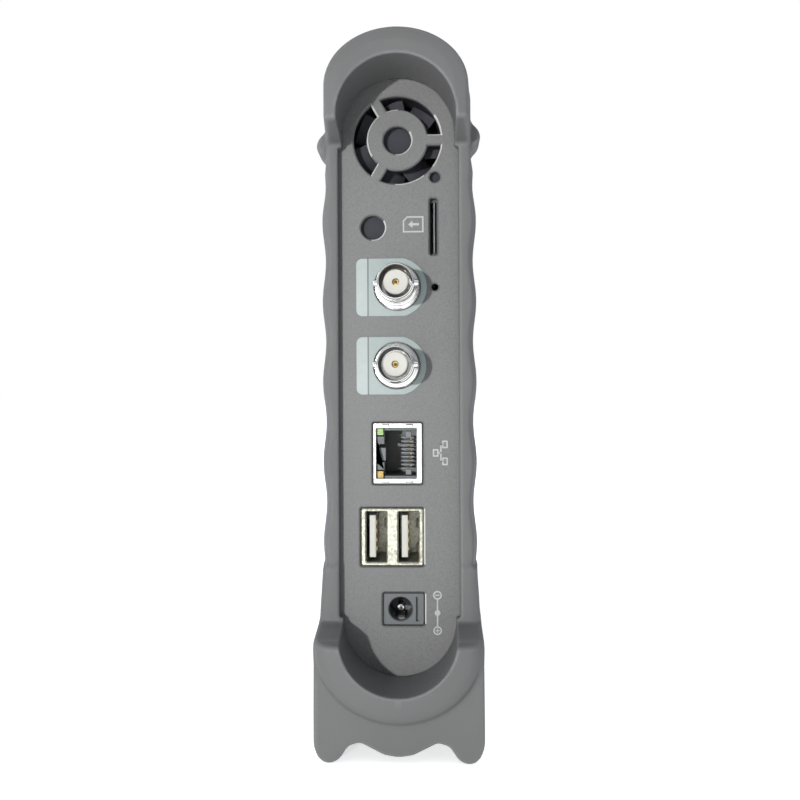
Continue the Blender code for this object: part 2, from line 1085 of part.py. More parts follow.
def bnc_connectors():
    base = -label_sunk + gap
    seat_end = base + 0.0016
    floor = seat_end + 0.0016
    for index, centre in enumerate(zip(bnc_across, bnc_heights)):
        shell = turned_x(
            f"bnc_{index + 1}_shell",
            (
                (bnc_reach, bnc_bore),
                (bnc_reach, bnc_barrel - 0.0003),
                (bnc_reach - 0.0004, bnc_barrel),
                (seat_end, bnc_barrel),
                (seat_end, bnc_flange),
                (base, bnc_flange),
                (base, bnc_barrel),
                (-bnc_tail, bnc_barrel),
                (-bnc_tail, bnc_seat_bore),
                (floor, bnc_seat_bore),
                (floor, bnc_bore),
            ),
            centre,
            1,
            "chrome",
            True,
        )
        lug_x = panel_x + bnc_reach - bnc_lug_setback
        for side in (-1, 1):
            inner = centre[0] + side * (bnc_bore + bnc_barrel) / 2
            outer = centre[0] + side * bnc_lug_reach
            lug = rod_y(
                f"bnc_lug_{index}_{side}",
                (lug_x, centre[1]),
                bnc_lug_radius,
                min(inner, outer),
                max(inner, outer),
                "chrome",
                10,
            )
            join(shell, lug)
        turned_x(
            f"bnc_{index + 1}_insulator",
            (
                (bnc_reach - 0.002, bnc_contact + gap),
                (bnc_reach - 0.002, bnc_insulator_neck),
                (floor, bnc_insulator_neck),
                (floor, bnc_seat_bore - gap),
                (-bnc_tail + gap, bnc_seat_bore - gap),
                (-bnc_tail + gap, bnc_contact + gap),
            ),
            centre,
            1,
            "white",
            True,
            24,
        )
        turned_x(
            f"bnc_{index + 1}_contact",
            ((-bnc_tail - 0.002, bnc_contact), (bnc_reach - 0.003, bnc_contact)),
            centre,
            1,
            "gold",
            False,
            16,
        )


def lan_jack():
    half_y = lan_width / 2
    half_z = lan_height / 2
    front = panel_x
    back = panel_x - lan_depth
    shield = block(
        "lan_shield",
        (back, lan_across - half_y, lan_z - half_z),
        (front, lan_across + half_y, lan_z + half_z),
        "metal",
    )
    inner_left = lan_across - half_y + lan_sheet
    inner_right = lan_across + half_y - lan_sheet
    inner_z = half_z - lan_sheet
    port_left = lan_across - half_y + lan_bar_left
    port_right = lan_across + half_y - lan_bar_right
    port_z = half_z - lan_bar_ends
    cut(
        shield,
        block(
            "lan_shield_inside",
            (back - overshoot, inner_left, lan_z - inner_z),
            (front - lan_face, inner_right, lan_z + inner_z),
            "metal",
        ),
        block(
            "lan_shield_port",
            (front - lan_face - overshoot, port_left, lan_z - port_z),
            (front + overshoot, port_right, lan_z + port_z),
            "metal",
        ),
    )
    insert_front = front - lan_face - gap
    insert = block(
        "lan_insert",
        (back, inner_left + gap, lan_z - inner_z + gap),
        (insert_front, inner_right - gap, lan_z + inner_z - gap),
        "black",
    )
    plug_left = inner_left + gap + lan_latch_depth
    cut(
        insert,
        block(
            "lan_plug_space",
            (insert_front - lan_plug_depth, plug_left, lan_z - lan_plug_half),
            (insert_front + overshoot, port_right, lan_z + lan_plug_half),
            "black",
        ),
        block(
            "lan_latch_space",
            (insert_front - lan_plug_depth, port_left, lan_z - lan_latch_half),
            (insert_front + overshoot, plug_left + gap, lan_z + lan_latch_half),
            "black",
        ),
    )
    for name, level, colour in (("upper", 1, "green"), ("lower", -1, "yellow")):
        centre_y = port_left + lan_led_width / 2
        centre_z = lan_z + level * lan_led_offset
        room_y = lan_led_width / 2 + gap
        room_z = lan_led_height / 2 + gap
        cut(
            insert,
            block(
                f"lan_led_space_{name}",
                (insert_front - 0.004, inner_left - overshoot, centre_z - room_z),
                (insert_front + overshoot, centre_y + room_y, centre_z + room_z),
                "black",
            ),
        )
        block(
            f"lan_led_{name}",
            (
                insert_front - 0.004 + gap,
                centre_y - lan_led_width / 2,
                centre_z - lan_led_height / 2,
            ),
            (insert_front, centre_y + lan_led_width / 2, centre_z + lan_led_height / 2),
            colour,
        )


def usb_jack():
    left = usb_across - usb_width / 2
    back = panel_x - usb_depth
    shell = block(
        "usb_shell",
        (back, left, usb_z - usb_height / 2),
        (panel_x, left + usb_width, usb_z + usb_height / 2),
        "metal",
    )
    for index, side in enumerate(("front", "rear")):
        port = left + usb_wall_left + index * (usb_port_width + usb_middle)
        start = panel_x - usb_port_depth
        cut(
            shell,
            block(
                f"usb_port_{side}",
                (start, port, usb_z - usb_port_height / 2),
                (panel_x + overshoot, port + usb_port_width, usb_z + usb_port_height / 2),
                "metal",
            ),
        )
        tongue = port + usb_tongue_inset
        block(
            f"usb_tongue_{side}",
            (start + gap, tongue, usb_z - usb_tongue_height / 2),
            (panel_x - usb_tongue_setback, tongue + usb_tongue, usb_z + usb_tongue_height / 2),
            "white",
        )


def dc_jack():
    back = panel_x - dc_depth
    body = block(
        "dc_jack_body",
        (back, dc_across - dc_width / 2, dc_z - dc_height / 2),
        (panel_x - 0.0004, dc_across + dc_width / 2, dc_z + dc_height / 2),
        "black",
    )
    centre = (dc_hole_across, dc_z)
    start = panel_x - dc_hole_depth
    cut(body, rod_x("dc_hole", centre, dc_hole_radius, start, panel_x + overshoot, "black", 28))
    rod_x("dc_jack_pin", centre, dc_pin_radius, start + gap, panel_x - 0.0022, "gold", 16)


def card_socket():
    half_y = card_slot_width / 2 + 0.0007
    half_z = card_slot_height / 2 + 0.0008
    front = panel_inside - gap
    back = front - 0.0145
    body = block(
        "card_socket",
        (back, card_across - half_y, card_z - half_z),
        (front, card_across + half_y, card_z + half_z),
        "metal",
    )
    slot_y = card_slot_width / 2 - 0.0003
    slot_z = card_slot_height / 2 - 0.0008
    cut(
        body,
        block(
            "card_socket_slot",
            (front - 0.011, card_across - slot_y, card_z - slot_z),
            (front + overshoot, card_across + slot_y, card_z + slot_z),
            "metal",
        ),
    )


def fan_frame():
    front = panel_inside - gap
    back = front - fan_depth
    centre = (fan_across, fan_z)
    base = 0.0012
    square = rounded_rectangle(fan_size - 2 * gap, fan_size - 2 * gap, 0.002, 3, centre)
    frame = prism_x("fan_frame", square, back, front, "black")
    cut(frame, rod_x("fan_bore", centre, fan_bore, back - overshoot, front + overshoot, "black", 40))
    for strut in range(3):
        bar = block(
            f"fan_strut_{strut}",
            (back, 0, -0.0009),
            (back + base, fan_bore + 0.0004, 0.0009),
            "black",
        )
        turn = Matrix.Rotation(math.radians(60 + 120 * strut), 4, "X")
        bar.data.transform(Matrix.Translation((0, fan_across, fan_z)) @ turn)
        join(frame, bar)
    seat = rod_x("fan_seat", centre, fan_hub_radius, back - 0.0001, back + base, "black", 24)
    post = rod_x(
        "fan_post", centre, fan_shaft_radius, back + base / 2, front - 0.0014, "black", 12
    )
    join(frame, seat, post)


def fan_rotor():
    front = panel_inside - gap - 0.0006
    back = panel_inside - gap - fan_depth + 0.0012 + gap
    centre = (fan_across, fan_z)
    hub = rod_x("fan_rotor", centre, fan_hub_radius, back, front, "black", 28)
    pitch = math.radians(35)
    for index in range(fan_blades):
        blade = block(
            f"fan_blade_{index}",
            (-0.0027, fan_hub_radius - 0.0006, -0.0004),
            (0.0027, fan_blade_reach, 0.0004),
            "black",
        )
        lean = Matrix.Rotation(pitch, 4, "Y")
        turn = Matrix.Rotation(2 * math.pi * index / fan_blades, 4, "X")
        place = Matrix.Translation(((front + back) / 2, fan_across, fan_z))
        blade.data.transform(place @ turn @ lean)
        join(hub, blade)
    bore = rod_x(
        "fan_rotor_bore",
        centre,
        fan_shaft_radius + gap,
        back - overshoot,
        front - 0.0005,
        "black",
        12,
    )
    cut(hub, bore)
    pivot = Vector(((front + back) / 2, fan_across, fan_z))
    hub.data.transform(Matrix.Translation(-pivot))
    hub.location = pivot


def port_panel():
    plate = prism_x("port_panel", case_section(0), -panel_x, -panel_inside, "panel")
    for index, z in enumerate(port_heights):
        hole = rod_x(
            f"port_hole_{index}",
            (0, z),
            port_tail_radius + gap,
            -panel_x - overshoot,
            -panel_inside + overshoot,
            "panel",
            32,
        )
        cut(plate, hole)


def port_shell(name, centre):
    floor = port_nut_height - 0.001
    return turned_x(
        name,
        (
            (port_reach, port_bore),
            (port_reach, port_thread_radius - 0.0004),
            (port_reach - 0.0006, port_thread_radius),
            (gap, port_thread_radius),
            (gap, port_tail_radius),
            (-port_tail, port_tail_radius),
            (-port_tail, port_bore - 0.001),
            (floor, port_bore - 0.001),
            (floor, port_bore),
        ),
        centre,
        -1,
        "metal",
        True,
    )


def port_nut(name, centre):
    start = -panel_x - gap
    end = start - port_nut_height
    hexagon = circle(port_nut_radius, 6, centre)
    nut = prism_x(name, hexagon, start, end, "metal")
    bore = rod_x(
        f"{name}_bore",
        centre,
        port_thread_radius + gap,
        start + overshoot,
        end - overshoot,
        "metal",
        32,
    )
    return cut(nut, bore)


def test_ports():
    for index, z in enumerate(port_heights):
        name = f"port_{index + 1}"
        centre = (0, z)
        port_shell(f"{name}_shell", centre)
        port_nut(f"{name}_nut", centre)
        inner = port_bore - 0.001 - gap
        turned_x(
            f"{name}_insulator",
            (
                (port_insulator_front, port_contact + gap),
                (port_insulator_front, inner),
                (-port_tail + gap, inner),
                (-port_tail + gap, port_contact + gap),
            ),
            centre,
            -1,
            "white",
            True,
            24,
        )
        turned_x(
            f"{name}_contact",
            ((-port_tail, port_contact), (port_reach - 0.003, port_contact)),
            centre,
            -1,
            "gold",
            False,
            16,
        )


def main():
    clear_scene()
    make_materials()
    rubber_boot()
    front_case()
    rear_case()
    case_screws()
    battery_cover()
    battery_pack()
    kickstand()
    stand_pins()
    display()
    keys()
    boards()
    rf_module()
    connector_panel()
    bnc_labels()
    bnc_connectors()
    lan_jack()
    usb_jack()
    dc_jack()
    card_socket()
    fan_frame()
    fan_rotor()
    port_panel()
    test_ports()


main()
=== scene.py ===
import math

import bmesh
import bpy
import numpy as np
import openvdb
from mathutils import Matrix, Quaternion, Vector


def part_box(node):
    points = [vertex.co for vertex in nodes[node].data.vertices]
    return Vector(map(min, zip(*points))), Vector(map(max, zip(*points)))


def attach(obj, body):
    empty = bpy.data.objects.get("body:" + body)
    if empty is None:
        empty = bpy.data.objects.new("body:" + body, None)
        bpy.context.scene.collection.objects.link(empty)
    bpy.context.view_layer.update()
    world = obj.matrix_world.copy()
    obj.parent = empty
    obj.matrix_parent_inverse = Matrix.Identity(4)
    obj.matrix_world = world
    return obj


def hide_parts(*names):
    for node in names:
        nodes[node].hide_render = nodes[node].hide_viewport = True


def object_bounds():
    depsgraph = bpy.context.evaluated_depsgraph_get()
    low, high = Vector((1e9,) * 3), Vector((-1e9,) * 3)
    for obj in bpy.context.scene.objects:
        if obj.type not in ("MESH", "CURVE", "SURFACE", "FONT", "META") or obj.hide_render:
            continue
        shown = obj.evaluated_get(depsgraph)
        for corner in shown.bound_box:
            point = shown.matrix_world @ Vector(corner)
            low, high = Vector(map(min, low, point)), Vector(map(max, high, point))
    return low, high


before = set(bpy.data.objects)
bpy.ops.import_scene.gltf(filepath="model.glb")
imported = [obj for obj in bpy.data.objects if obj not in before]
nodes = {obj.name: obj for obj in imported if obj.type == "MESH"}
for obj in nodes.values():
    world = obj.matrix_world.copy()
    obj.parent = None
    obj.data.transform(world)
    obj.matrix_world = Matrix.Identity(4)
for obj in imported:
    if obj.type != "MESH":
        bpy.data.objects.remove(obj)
cadBox = [list(corner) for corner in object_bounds()]
scene = bpy.context.scene
mm = 0.001
halfLength = cadBox[1][0] / mm
topZ = cadBox[1][2] / mm
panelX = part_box("connector_panel")[1][0] / mm
print("frame loaded")


def corners(node):
    low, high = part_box(node)
    return [c / mm for c in low], [c / mm for c in high]


def middle(node):
    low, high = corners(node)
    return [(a + b) / 2 for a, b in zip(low, high)]


def sectionOf(node):
    # centre, width and height of a node seen along X
    low, high = corners(node)
    return middle(node)[1:], high[1] - low[1], high[2] - low[2]


def pieceName(node):
    first, *rest = node.split("_")
    return first + "".join(word.title() for word in rest)


def linked(name, mesh):
    piece = bpy.data.objects.new(name, mesh)
    scene.collection.objects.link(piece)
    return piece


def shaded(piece, angle=35):
    piece.data.shade_smooth()
    piece.data.set_sharp_from_angle(angle=math.radians(angle))
    return piece


def paint(mesh, finish):
    mesh.materials.clear()
    mesh.materials.append(finishes[finish])


def workOn(mesh):
    work = bmesh.new()
    work.from_mesh(mesh)
    return work


def endWork(work, mesh):
    work.to_mesh(mesh)
    work.free()


def meshOf(name, points, faces, finish, angle=35):
    mesh = bpy.data.meshes.new(name)
    mesh.from_pydata([tuple(c * mm for c in p) for p in points], [], [tuple(f) for f in faces])
    paint(mesh, finish)
    work = workOn(mesh)
    bmesh.ops.recalc_face_normals(work, faces=work.faces)
    endWork(work, mesh)
    return shaded(linked(name, mesh), angle)


def finalMesh(piece):
    graph = bpy.context.evaluated_depsgraph_get()
    return bpy.data.meshes.new_from_object(piece.evaluated_get(graph))


def applied(piece):
    mesh = finalMesh(piece)
    piece.modifiers.clear()
    piece.data = mesh
    return piece


def joined(name, pieces):
    bpy.ops.object.select_all(action="DESELECT")
    for piece in pieces:
        piece.select_set(True)
    bpy.context.view_layer.objects.active = pieces[0]
    bpy.ops.object.join()
    pieces[0].name = name
    pieces[0].data.name = name
    return pieces[0]


def arcPoints(centre, radius, start, end, steps):
    points = []
    for step in range(steps + 1):
        angle = math.radians(start + (end - start) * step / steps)
        points.append((centre[0] + radius * math.cos(angle), centre[1] + radius * math.sin(angle)))
    return points


def ringPoints(centre, radius, count=48):
    return arcPoints(centre, radius, 0, 360 * (count - 1) / count, count - 1)


def roundedBox(centre, width, height, radius, steps=5):
    points = []
    for turn, (side, level) in enumerate(((1, 1), (-1, 1), (-1, -1), (1, -1))):
        corner = (centre[0] + side * (width / 2 - radius), centre[1] + level * (height / 2 - radius))
        points += arcPoints(corner, radius, 90 * turn, 90 * turn + 90, steps)
    return points


def skin(name, rings, finish, closed=False, angle=35):
    # quads between rings of equal length, either capped or joined end to start
    count = len(rings[0])
    faces = []
    for run in range(len(rings) if closed else len(rings) - 1):
        nextRun = (run + 1) % len(rings)
        for i in range(count):
            j = (i + 1) % count
            faces.append((run * count + i, run * count + j, nextRun * count + j, nextRun * count + i))
    if not closed:
        faces.append(tuple(range(count)))
        faces.append(tuple((len(rings) - 1) * count + i for i in range(count)))
    return meshOf(name, [p for ring in rings for p in ring], faces, finish, angle)


def turnedX(name, profile, centre, finish, count, closed=True):
    # profile: (x, radius) pairs about a line along X
    rings = [[(x, y, z) for y, z in ringPoints(centre, radius, count)] for x, radius in profile]
    return skin(name, rings, finish, closed, 30)


def turnedPiece(node, name, profile, centre, finish, count, slot):
    return placed(turnedX(name, profile, centre, finish, count), slot, node)


def blockOf(name, low, high, finish, bevel=0.15, segments=2):
    outline = [(low[1], low[2]), (high[1], low[2]), (high[1], high[2]), (low[1], high[2])]
    piece = skin(name, [[(x, y, z) for y, z in outline] for x in (low[0], high[0])], finish)
    return softened(piece, bevel, segments) if bevel else piece


def softened(piece, width, segments=2):
    modifier = piece.modifiers.new("bevel", "BEVEL")
    modifier.width = width * mm
    modifier.segments = segments
    modifier.limit_method = "ANGLE"
    modifier.angle_limit = math.radians(30)
    piece.data.shade_smooth()
    piece.modifiers.new("evenShading", "WEIGHTED_NORMAL").keep_sharp = True
    return applied(piece)


def carved(piece, cutter):
    modifier = piece.modifiers.new("cut", "BOOLEAN")
    modifier.solver = "EXACT"
    modifier.object = cutter
    shaded(applied(piece))
    bpy.data.objects.remove(cutter, do_unlink=True)
    return piece


def placed(piece, slot, *replaced, body="instrument"):
    if replaced:
        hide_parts(*replaced)
    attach(piece, body)
    return piece


def refined(node, finish, bevel, slot, name=None, body="instrument"):
    # a clean, softened copy of a CAD node
    piece = linked(name or pieceName(node), nodes[node].data.copy())
    work = workOn(piece.data)
    bmesh.ops.remove_doubles(work, verts=work.verts, dist=1e-6)
    bmesh.ops.dissolve_limit(work, angle_limit=math.radians(1), verts=work.verts, edges=work.edges)
    endWork(work, piece.data)
    paint(piece.data, finish)
    return placed(softened(piece, bevel), slot, node, body=body)


def plateOf(name, outlines, start, end, bevel, finish, edgeFinish=None, painted=()):
    # a sheet across X, filled between closed outlines, with chamfered edges
    curve = bpy.data.curves.new(name, "CURVE")
    curve.dimensions = "2D"
    curve.fill_mode = "BOTH"
    curve.extrude = ((end - start) / 2 - bevel) * mm
    curve.bevel_depth = bevel * mm
    curve.bevel_resolution = 0
    curve.offset = -bevel * mm
    for outline in outlines:
        spline = curve.splines.new("POLY")
        spline.points.add(len(outline) - 1)
        for point, (y, z) in zip(spline.points, outline):
            point.co = (y * mm, z * mm, 0, 1)
        spline.use_cyclic_u = True
    shape = linked(name, curve)
    mesh = finalMesh(shape)
    bpy.data.objects.remove(shape, do_unlink=True)
    middleX = (start + end) / 2 * mm
    mesh.transform(Matrix(((0, 0, 1, middleX), (1, 0, 0, 0), (0, 1, 0, 0), (0, 0, 0, 1))))
    paint(mesh, finish)
    work = workOn(mesh)
    bmesh.ops.remove_doubles(work, verts=work.verts, dist=1e-7)
    bmesh.ops.recalc_face_normals(work, faces=work.faces)
    if edgeFinish:
        # edges facing the light get the bare-metal finish as a painted highlight
        mesh.materials.append(finishes[edgeFinish])
        for face in work.faces:
            face.material_index = int(isHighlightedEdge(face, painted))
    endWork(work, mesh)
    return shaded(linked(name, mesh), 30)


def isHighlightedEdge(face, painted):
    # painted highlight: chamfers facing up and to the left, towards the light, get the lighter bare-metal
    # edge finish; painted: (y, z, half width, half height) are places that keep the plain finish
    across, up = face.normal.y, face.normal.z
    facing = (up * 0.5 - across * 0.87) / max(math.hypot(across, up), 0.3)
    at = face.calc_center_median() / mm
    skipped = any(abs(at.y - y) < wide and abs(at.z - z) < high for y, z, wide, high in painted)
    return facing > 0.45 and not skipped


# Node helpers
def step(tree, kind, inputs=(), **settings):
    made = tree.nodes.new(kind)
    for name, value in settings.items():
        setattr(made, name, value)
    for socket, value in dict(inputs).items():
        if isinstance(value, bpy.types.NodeSocket):
            tree.links.new(value, made.inputs[socket])
        else:
            made.inputs[socket].default_value = value
    return made.outputs[0]


def calculated(tree, operation, a, b=0):
    return step(tree, "ShaderNodeMath", {0: a, 1: b}, operation=operation)


def metres(tree, value):
    return calculated(tree, "MULTIPLY", value, mm)


def vector(tree, **parts):
    return step(tree, "ShaderNodeCombineXYZ", parts)


def separated(tree, value):
    return step(tree, "ShaderNodeSeparateXYZ", {0: value}).node.outputs


def mixed(tree, factor, first, second, blend="MIX"):
    inputs = {"Factor": factor, "A": first, "B": second}
    return step(tree, "ShaderNodeMix", inputs, data_type="RGBA", blend_type=blend).node.outputs["Result"]


# Materials
def nodeTree(name):
    finish = bpy.data.materials.new(name)
    finish.use_nodes = True
    tree = finish.node_tree
    return finish, tree, tree.nodes["Principled BSDF"]


def placeOn(tree):
    return tree.nodes.new("ShaderNodeTexCoord").outputs["Object"]


def noiseOn(tree, scale, detail=3, roughness=0.5, stretch=(1, 1, 1)):
    spread = step(tree, "ShaderNodeMapping", {"Vector": placeOn(tree), "Scale": stretch})
    inputs = {"Vector": spread, "Scale": scale, "Detail": detail, "Roughness": roughness}
    return step(tree, "ShaderNodeTexNoise", inputs)


def ramp(tree, value, stops, interpolation="LINEAR"):
    made = tree.nodes.new("ShaderNodeValToRGB")
    made.color_ramp.interpolation = interpolation
    for index, (position, colour) in enumerate(stops):
        if index > 1:
            made.color_ramp.elements.new(position)
        element = made.color_ramp.elements[index]
        element.position = position
        element.color = (*colour, 1)
    tree.links.new(value, made.inputs["Fac"])
    return made.outputs["Color"]


def toned(tree, value, colour, dark, light, start=0.3, end=0.7):
    # runs from a darker to a lighter tint of one colour
    tints = [[min(1, c * amount) for c in colour] for amount in (dark, light)]
    return ramp(tree, value, zip((start, end), tints))


def ranged(tree, value, low, high):
    inputs = {"Value": value, "From Min": 0.3, "From Max": 0.7, "To Min": low, "To Max": high}
    return step(tree, "ShaderNodeMapRange", inputs)


def surfaced(tree, shader, tone, roughness, relief=0, depth=0, height=None):
    tree.links.new(tone, shader.inputs["Base Color"])
    tree.links.new(roughness, shader.inputs["Roughness"])
    if relief:
        bump = step(tree, "ShaderNodeBump", {"Strength": relief, "Distance": depth * mm, "Height": height})
        tree.links.new(bump, shader.inputs["Normal"])


plain = {
    "spread": 0.06,
    "stretch": (1, 1, 1),
    "mottle": 60,
    "grain": 1800,
    "drift": 0.06,
    "metallic": 0,
    "coat": 0,
    "specular": 0.5,
    "relief": 0.2,
    "depth": 0.02,
}


def plainFinish(name, colour, roughness, **changes):
    # colour, roughness and relief all vary over the surface
    finish, tree, shader = nodeTree(name)
    look = {**plain, **changes}
    broad = noiseOn(tree, look["mottle"], 4, 0.6, look["stretch"])
    fine = noiseOn(tree, look["grain"], 2, 0.5, look["stretch"])
    tone = toned(tree, broad, colour, 1 - look["spread"], 1 + look["spread"])
    rough = ranged(tree, fine, roughness - look["drift"], roughness + look["drift"])
    surfaced(tree, shader, tone, rough, look["relief"], look["depth"], fine)
    shader.inputs["Metallic"].default_value = look["metallic"]
    shader.inputs["Coat Weight"].default_value = look["coat"]
    shader.inputs["Coat Roughness"].default_value = 0.08
    shader.inputs["Specular IOR Level"].default_value = look["specular"]
    finish.diffuse_color = (*colour, 1)
    return finish


rubber = {
    "colour": (0.082, 0.0812, 0.0795),
    # painted highlight colour for the boot's convex edges
    "worn": (0.102, 0.104, 0.104),
    "highlightReach": 0.7,
    "highlightBend": (0.4, 1.2),
    "grain": 2600,
    "roughness": 0.62,
}


def bootRubberFinish():
    # painted highlight: the boot's edge attribute lightens its sharply convex edges
    finish, tree, shader = nodeTree("bootRubber")
    broad = noiseOn(tree, 25, 4, 0.6)
    fine = noiseOn(tree, rubber["grain"], 2, 0.5)
    baseTone = toned(tree, broad, rubber["colour"], 0.95, 1.05)
    edge = step(tree, "ShaderNodeAttribute", attribute_name="wear").node.outputs["Fac"]
    rough = ranged(tree, fine, rubber["roughness"] - 0.06, rubber["roughness"] + 0.06)
    surfaced(tree, shader, mixed(tree, edge, baseTone, (*rubber["worn"], 1)), rough, 0.25, 0.03, fine)
    shader.inputs["Specular IOR Level"].default_value = 0.35
    return finish


powder = {"colour": (0.094, 0.0935, 0.091), "speck": 2900, "roughness": (0.42, 0.58)}


def panelPaintFinish():
    # powder coat: a fine orange-peel grain with darker and lighter specks
    finish, tree, shader = nodeTree("panelPaint")
    speck = noiseOn(tree, powder["speck"], 1, 0.6)
    peel = noiseOn(tree, powder["speck"] * 0.6, 2, 0.5)
    tone = toned(tree, speck, powder["colour"], 0.84, 1.16)
    surfaced(tree, shader, tone, ranged(tree, speck, *powder["roughness"]), 0.3, 0.03, peel)
    shader.inputs["Specular IOR Level"].default_value = 0.4
    return finish


tinned = {"colour": (0.36, 0.355, 0.29), "crystal": 1500, "roughness": (0.26, 0.48)}


def tinFinish():
    # hot-tinned sheet: yellowish, with a fine crystalline speckle
    finish, tree, shader = nodeTree("tinnedSheet")
    crystal = noiseOn(tree, tinned["crystal"], 4, 0.7)
    tone = toned(tree, crystal, tinned["colour"], 0.55, 1.25, 0.38, 0.62)
    surfaced(tree, shader, tone, ranged(tree, crystal, *tinned["roughness"]), 0.2, 0.03, crystal)
    shader.inputs["Metallic"].default_value = 0.85
    return finish


film = {"stripe": (0.235, 0.27, 0.26), "line": (0.07, 0.085, 0.085), "field": (0.19, 0.228, 0.217)}


def labelFinish():
    # printed film: a pale stripe, a thin dark line, then the mint field
    finish, tree, shader = nodeTree("labelFilm")
    parts = separated(tree, placeOn(tree))
    reach = {"Value": parts["Y"], "From Min": -12 * mm, "From Max": -4 * mm}
    across = step(tree, "ShaderNodeMapRange", reach)
    bands = ramp(tree, across, zip((0, 0.47, 0.52), film.values()), "CONSTANT")
    smear = noiseOn(tree, 400, 3, 0.6)
    tone = mixed(tree, 1, bands, toned(tree, smear, (1, 1, 1), 0.92, 1), "MULTIPLY")
    surfaced(tree, shader, tone, ranged(tree, smear, 0.36, 0.46))
    return finish


brushed = {
    "metallic": 1,
    "spread": 0.1,
    "mottle": 200,
    "grain": 900,
    "drift": 0.08,
    "relief": 0.1,
    "depth": 0.01,
}


def brushedFinish(name, colour, stretch, roughness):
    return plainFinish(name, colour, roughness, stretch=stretch, **brushed)


display = {"border": 5.0, "bevel": 0.35, "print": (0.004, 0.004, 0.005)}


def glassFinish():
    # black print round the edge, a slightly greener dark screen inside it
    low, high = corners("display_glass")
    finish, tree, shader = nodeTree("displayGlass")
    parts = separated(tree, placeOn(tree))
    inside = []
    for axis, name in ((0, "X"), (2, "Z")):
        centre = (low[axis] + high[axis]) / 2 * mm
        half = ((high[axis] - low[axis]) / 2 - display["border"]) * mm
        away = calculated(tree, "ABSOLUTE", calculated(tree, "SUBTRACT", parts[name], centre))
        inside.append(calculated(tree, "LESS_THAN", away, half))
    smear = noiseOn(tree, 35, 4, 0.6)
    screen = ramp(tree, smear, ((0.3, (0.012, 0.015, 0.017)), (0.7, (0.018, 0.021, 0.024))))
    tone = mixed(tree, calculated(tree, "MULTIPLY", *inside), (*display["print"], 1), screen)
    surfaced(tree, shader, tone, ranged(tree, smear, 0.05, 0.13))
    shader.inputs["Specular IOR Level"].default_value = 0.3
    shader.inputs["Coat Weight"].default_value = 0.1
    shader.inputs["Coat Roughness"].default_value = 0.04
    return finish


finishes = {
    "boot": bootRubberFinish(),
    "paint": panelPaintFinish(),
    # bare-metal colour, put only on chamfers facing the light as a painted highlight
    "bareEdgeHighlight": plainFinish("bareEdgeHighlight", (0.47, 0.47, 0.45), 0.36, metallic=0.25),
    "case": plainFinish("casePlastic", (0.055, 0.057, 0.060), 0.55, grain=2400, relief=0.35, depth=0.04),
    "glass": glassFinish(),
    "key": plainFinish("keyRubber", (0.10, 0.103, 0.107), 0.6, relief=0.3, depth=0.03),
    "mark": plainFinish("printedMark", (0.27, 0.27, 0.258), 0.6, spread=0.08, mottle=900),
    "label": labelFinish(),
    "chrome": plainFinish("nickelPlate", (0.74, 0.73, 0.70), 0.16, metallic=1, drift=0.05, relief=0.05),
    "steel": brushedFinish("tinnedSteel", (0.44, 0.437, 0.42), (1, 1, 6), 0.36),
    "tin": tinFinish(),
    "brass": brushedFinish("goldPlate", (0.86, 0.62, 0.26), (1, 1, 1), 0.24),
    "ivory": plainFinish("ivoryInsulator", (0.33, 0.325, 0.29), 0.42, spread=0.04),
    "blackPlastic": plainFinish("blackPlastic", (0.022, 0.023, 0.025), 0.42, relief=0.12),
    "jackPlastic": plainFinish("jackPlastic", (0.058, 0.063, 0.064), 0.45, relief=0.15),
    "greyPlastic": plainFinish("greyPlastic", (0.085, 0.092, 0.095), 0.45, relief=0.15),
    "greenLens": plainFinish("greenLens", (0.22, 0.33, 0.11), 0.25, coat=0.3, spread=0.3, mottle=900),
    "yellowLens": plainFinish("yellowLens", (0.42, 0.27, 0.05), 0.25, coat=0.3, spread=0.3, mottle=900),
    "board": plainFinish("solderMask", (0.01, 0.11, 0.045), 0.35, spread=0.15, mottle=300),
    "battery": plainFinish("batteryWrap", (0.03, 0.03, 0.035), 0.4),
    "shield": brushedFinish("milledAluminium", (0.72, 0.73, 0.74), (8, 1, 1), 0.3),
    "fan": plainFinish("fanPlastic", (0.030, 0.030, 0.036), 0.7, relief=0.15, specular=0.15),
    "floor": plainFinish("paleFloor", (0.90, 0.90, 0.90), 0.7, spread=0.01, relief=0.02),
}
print("materials made")


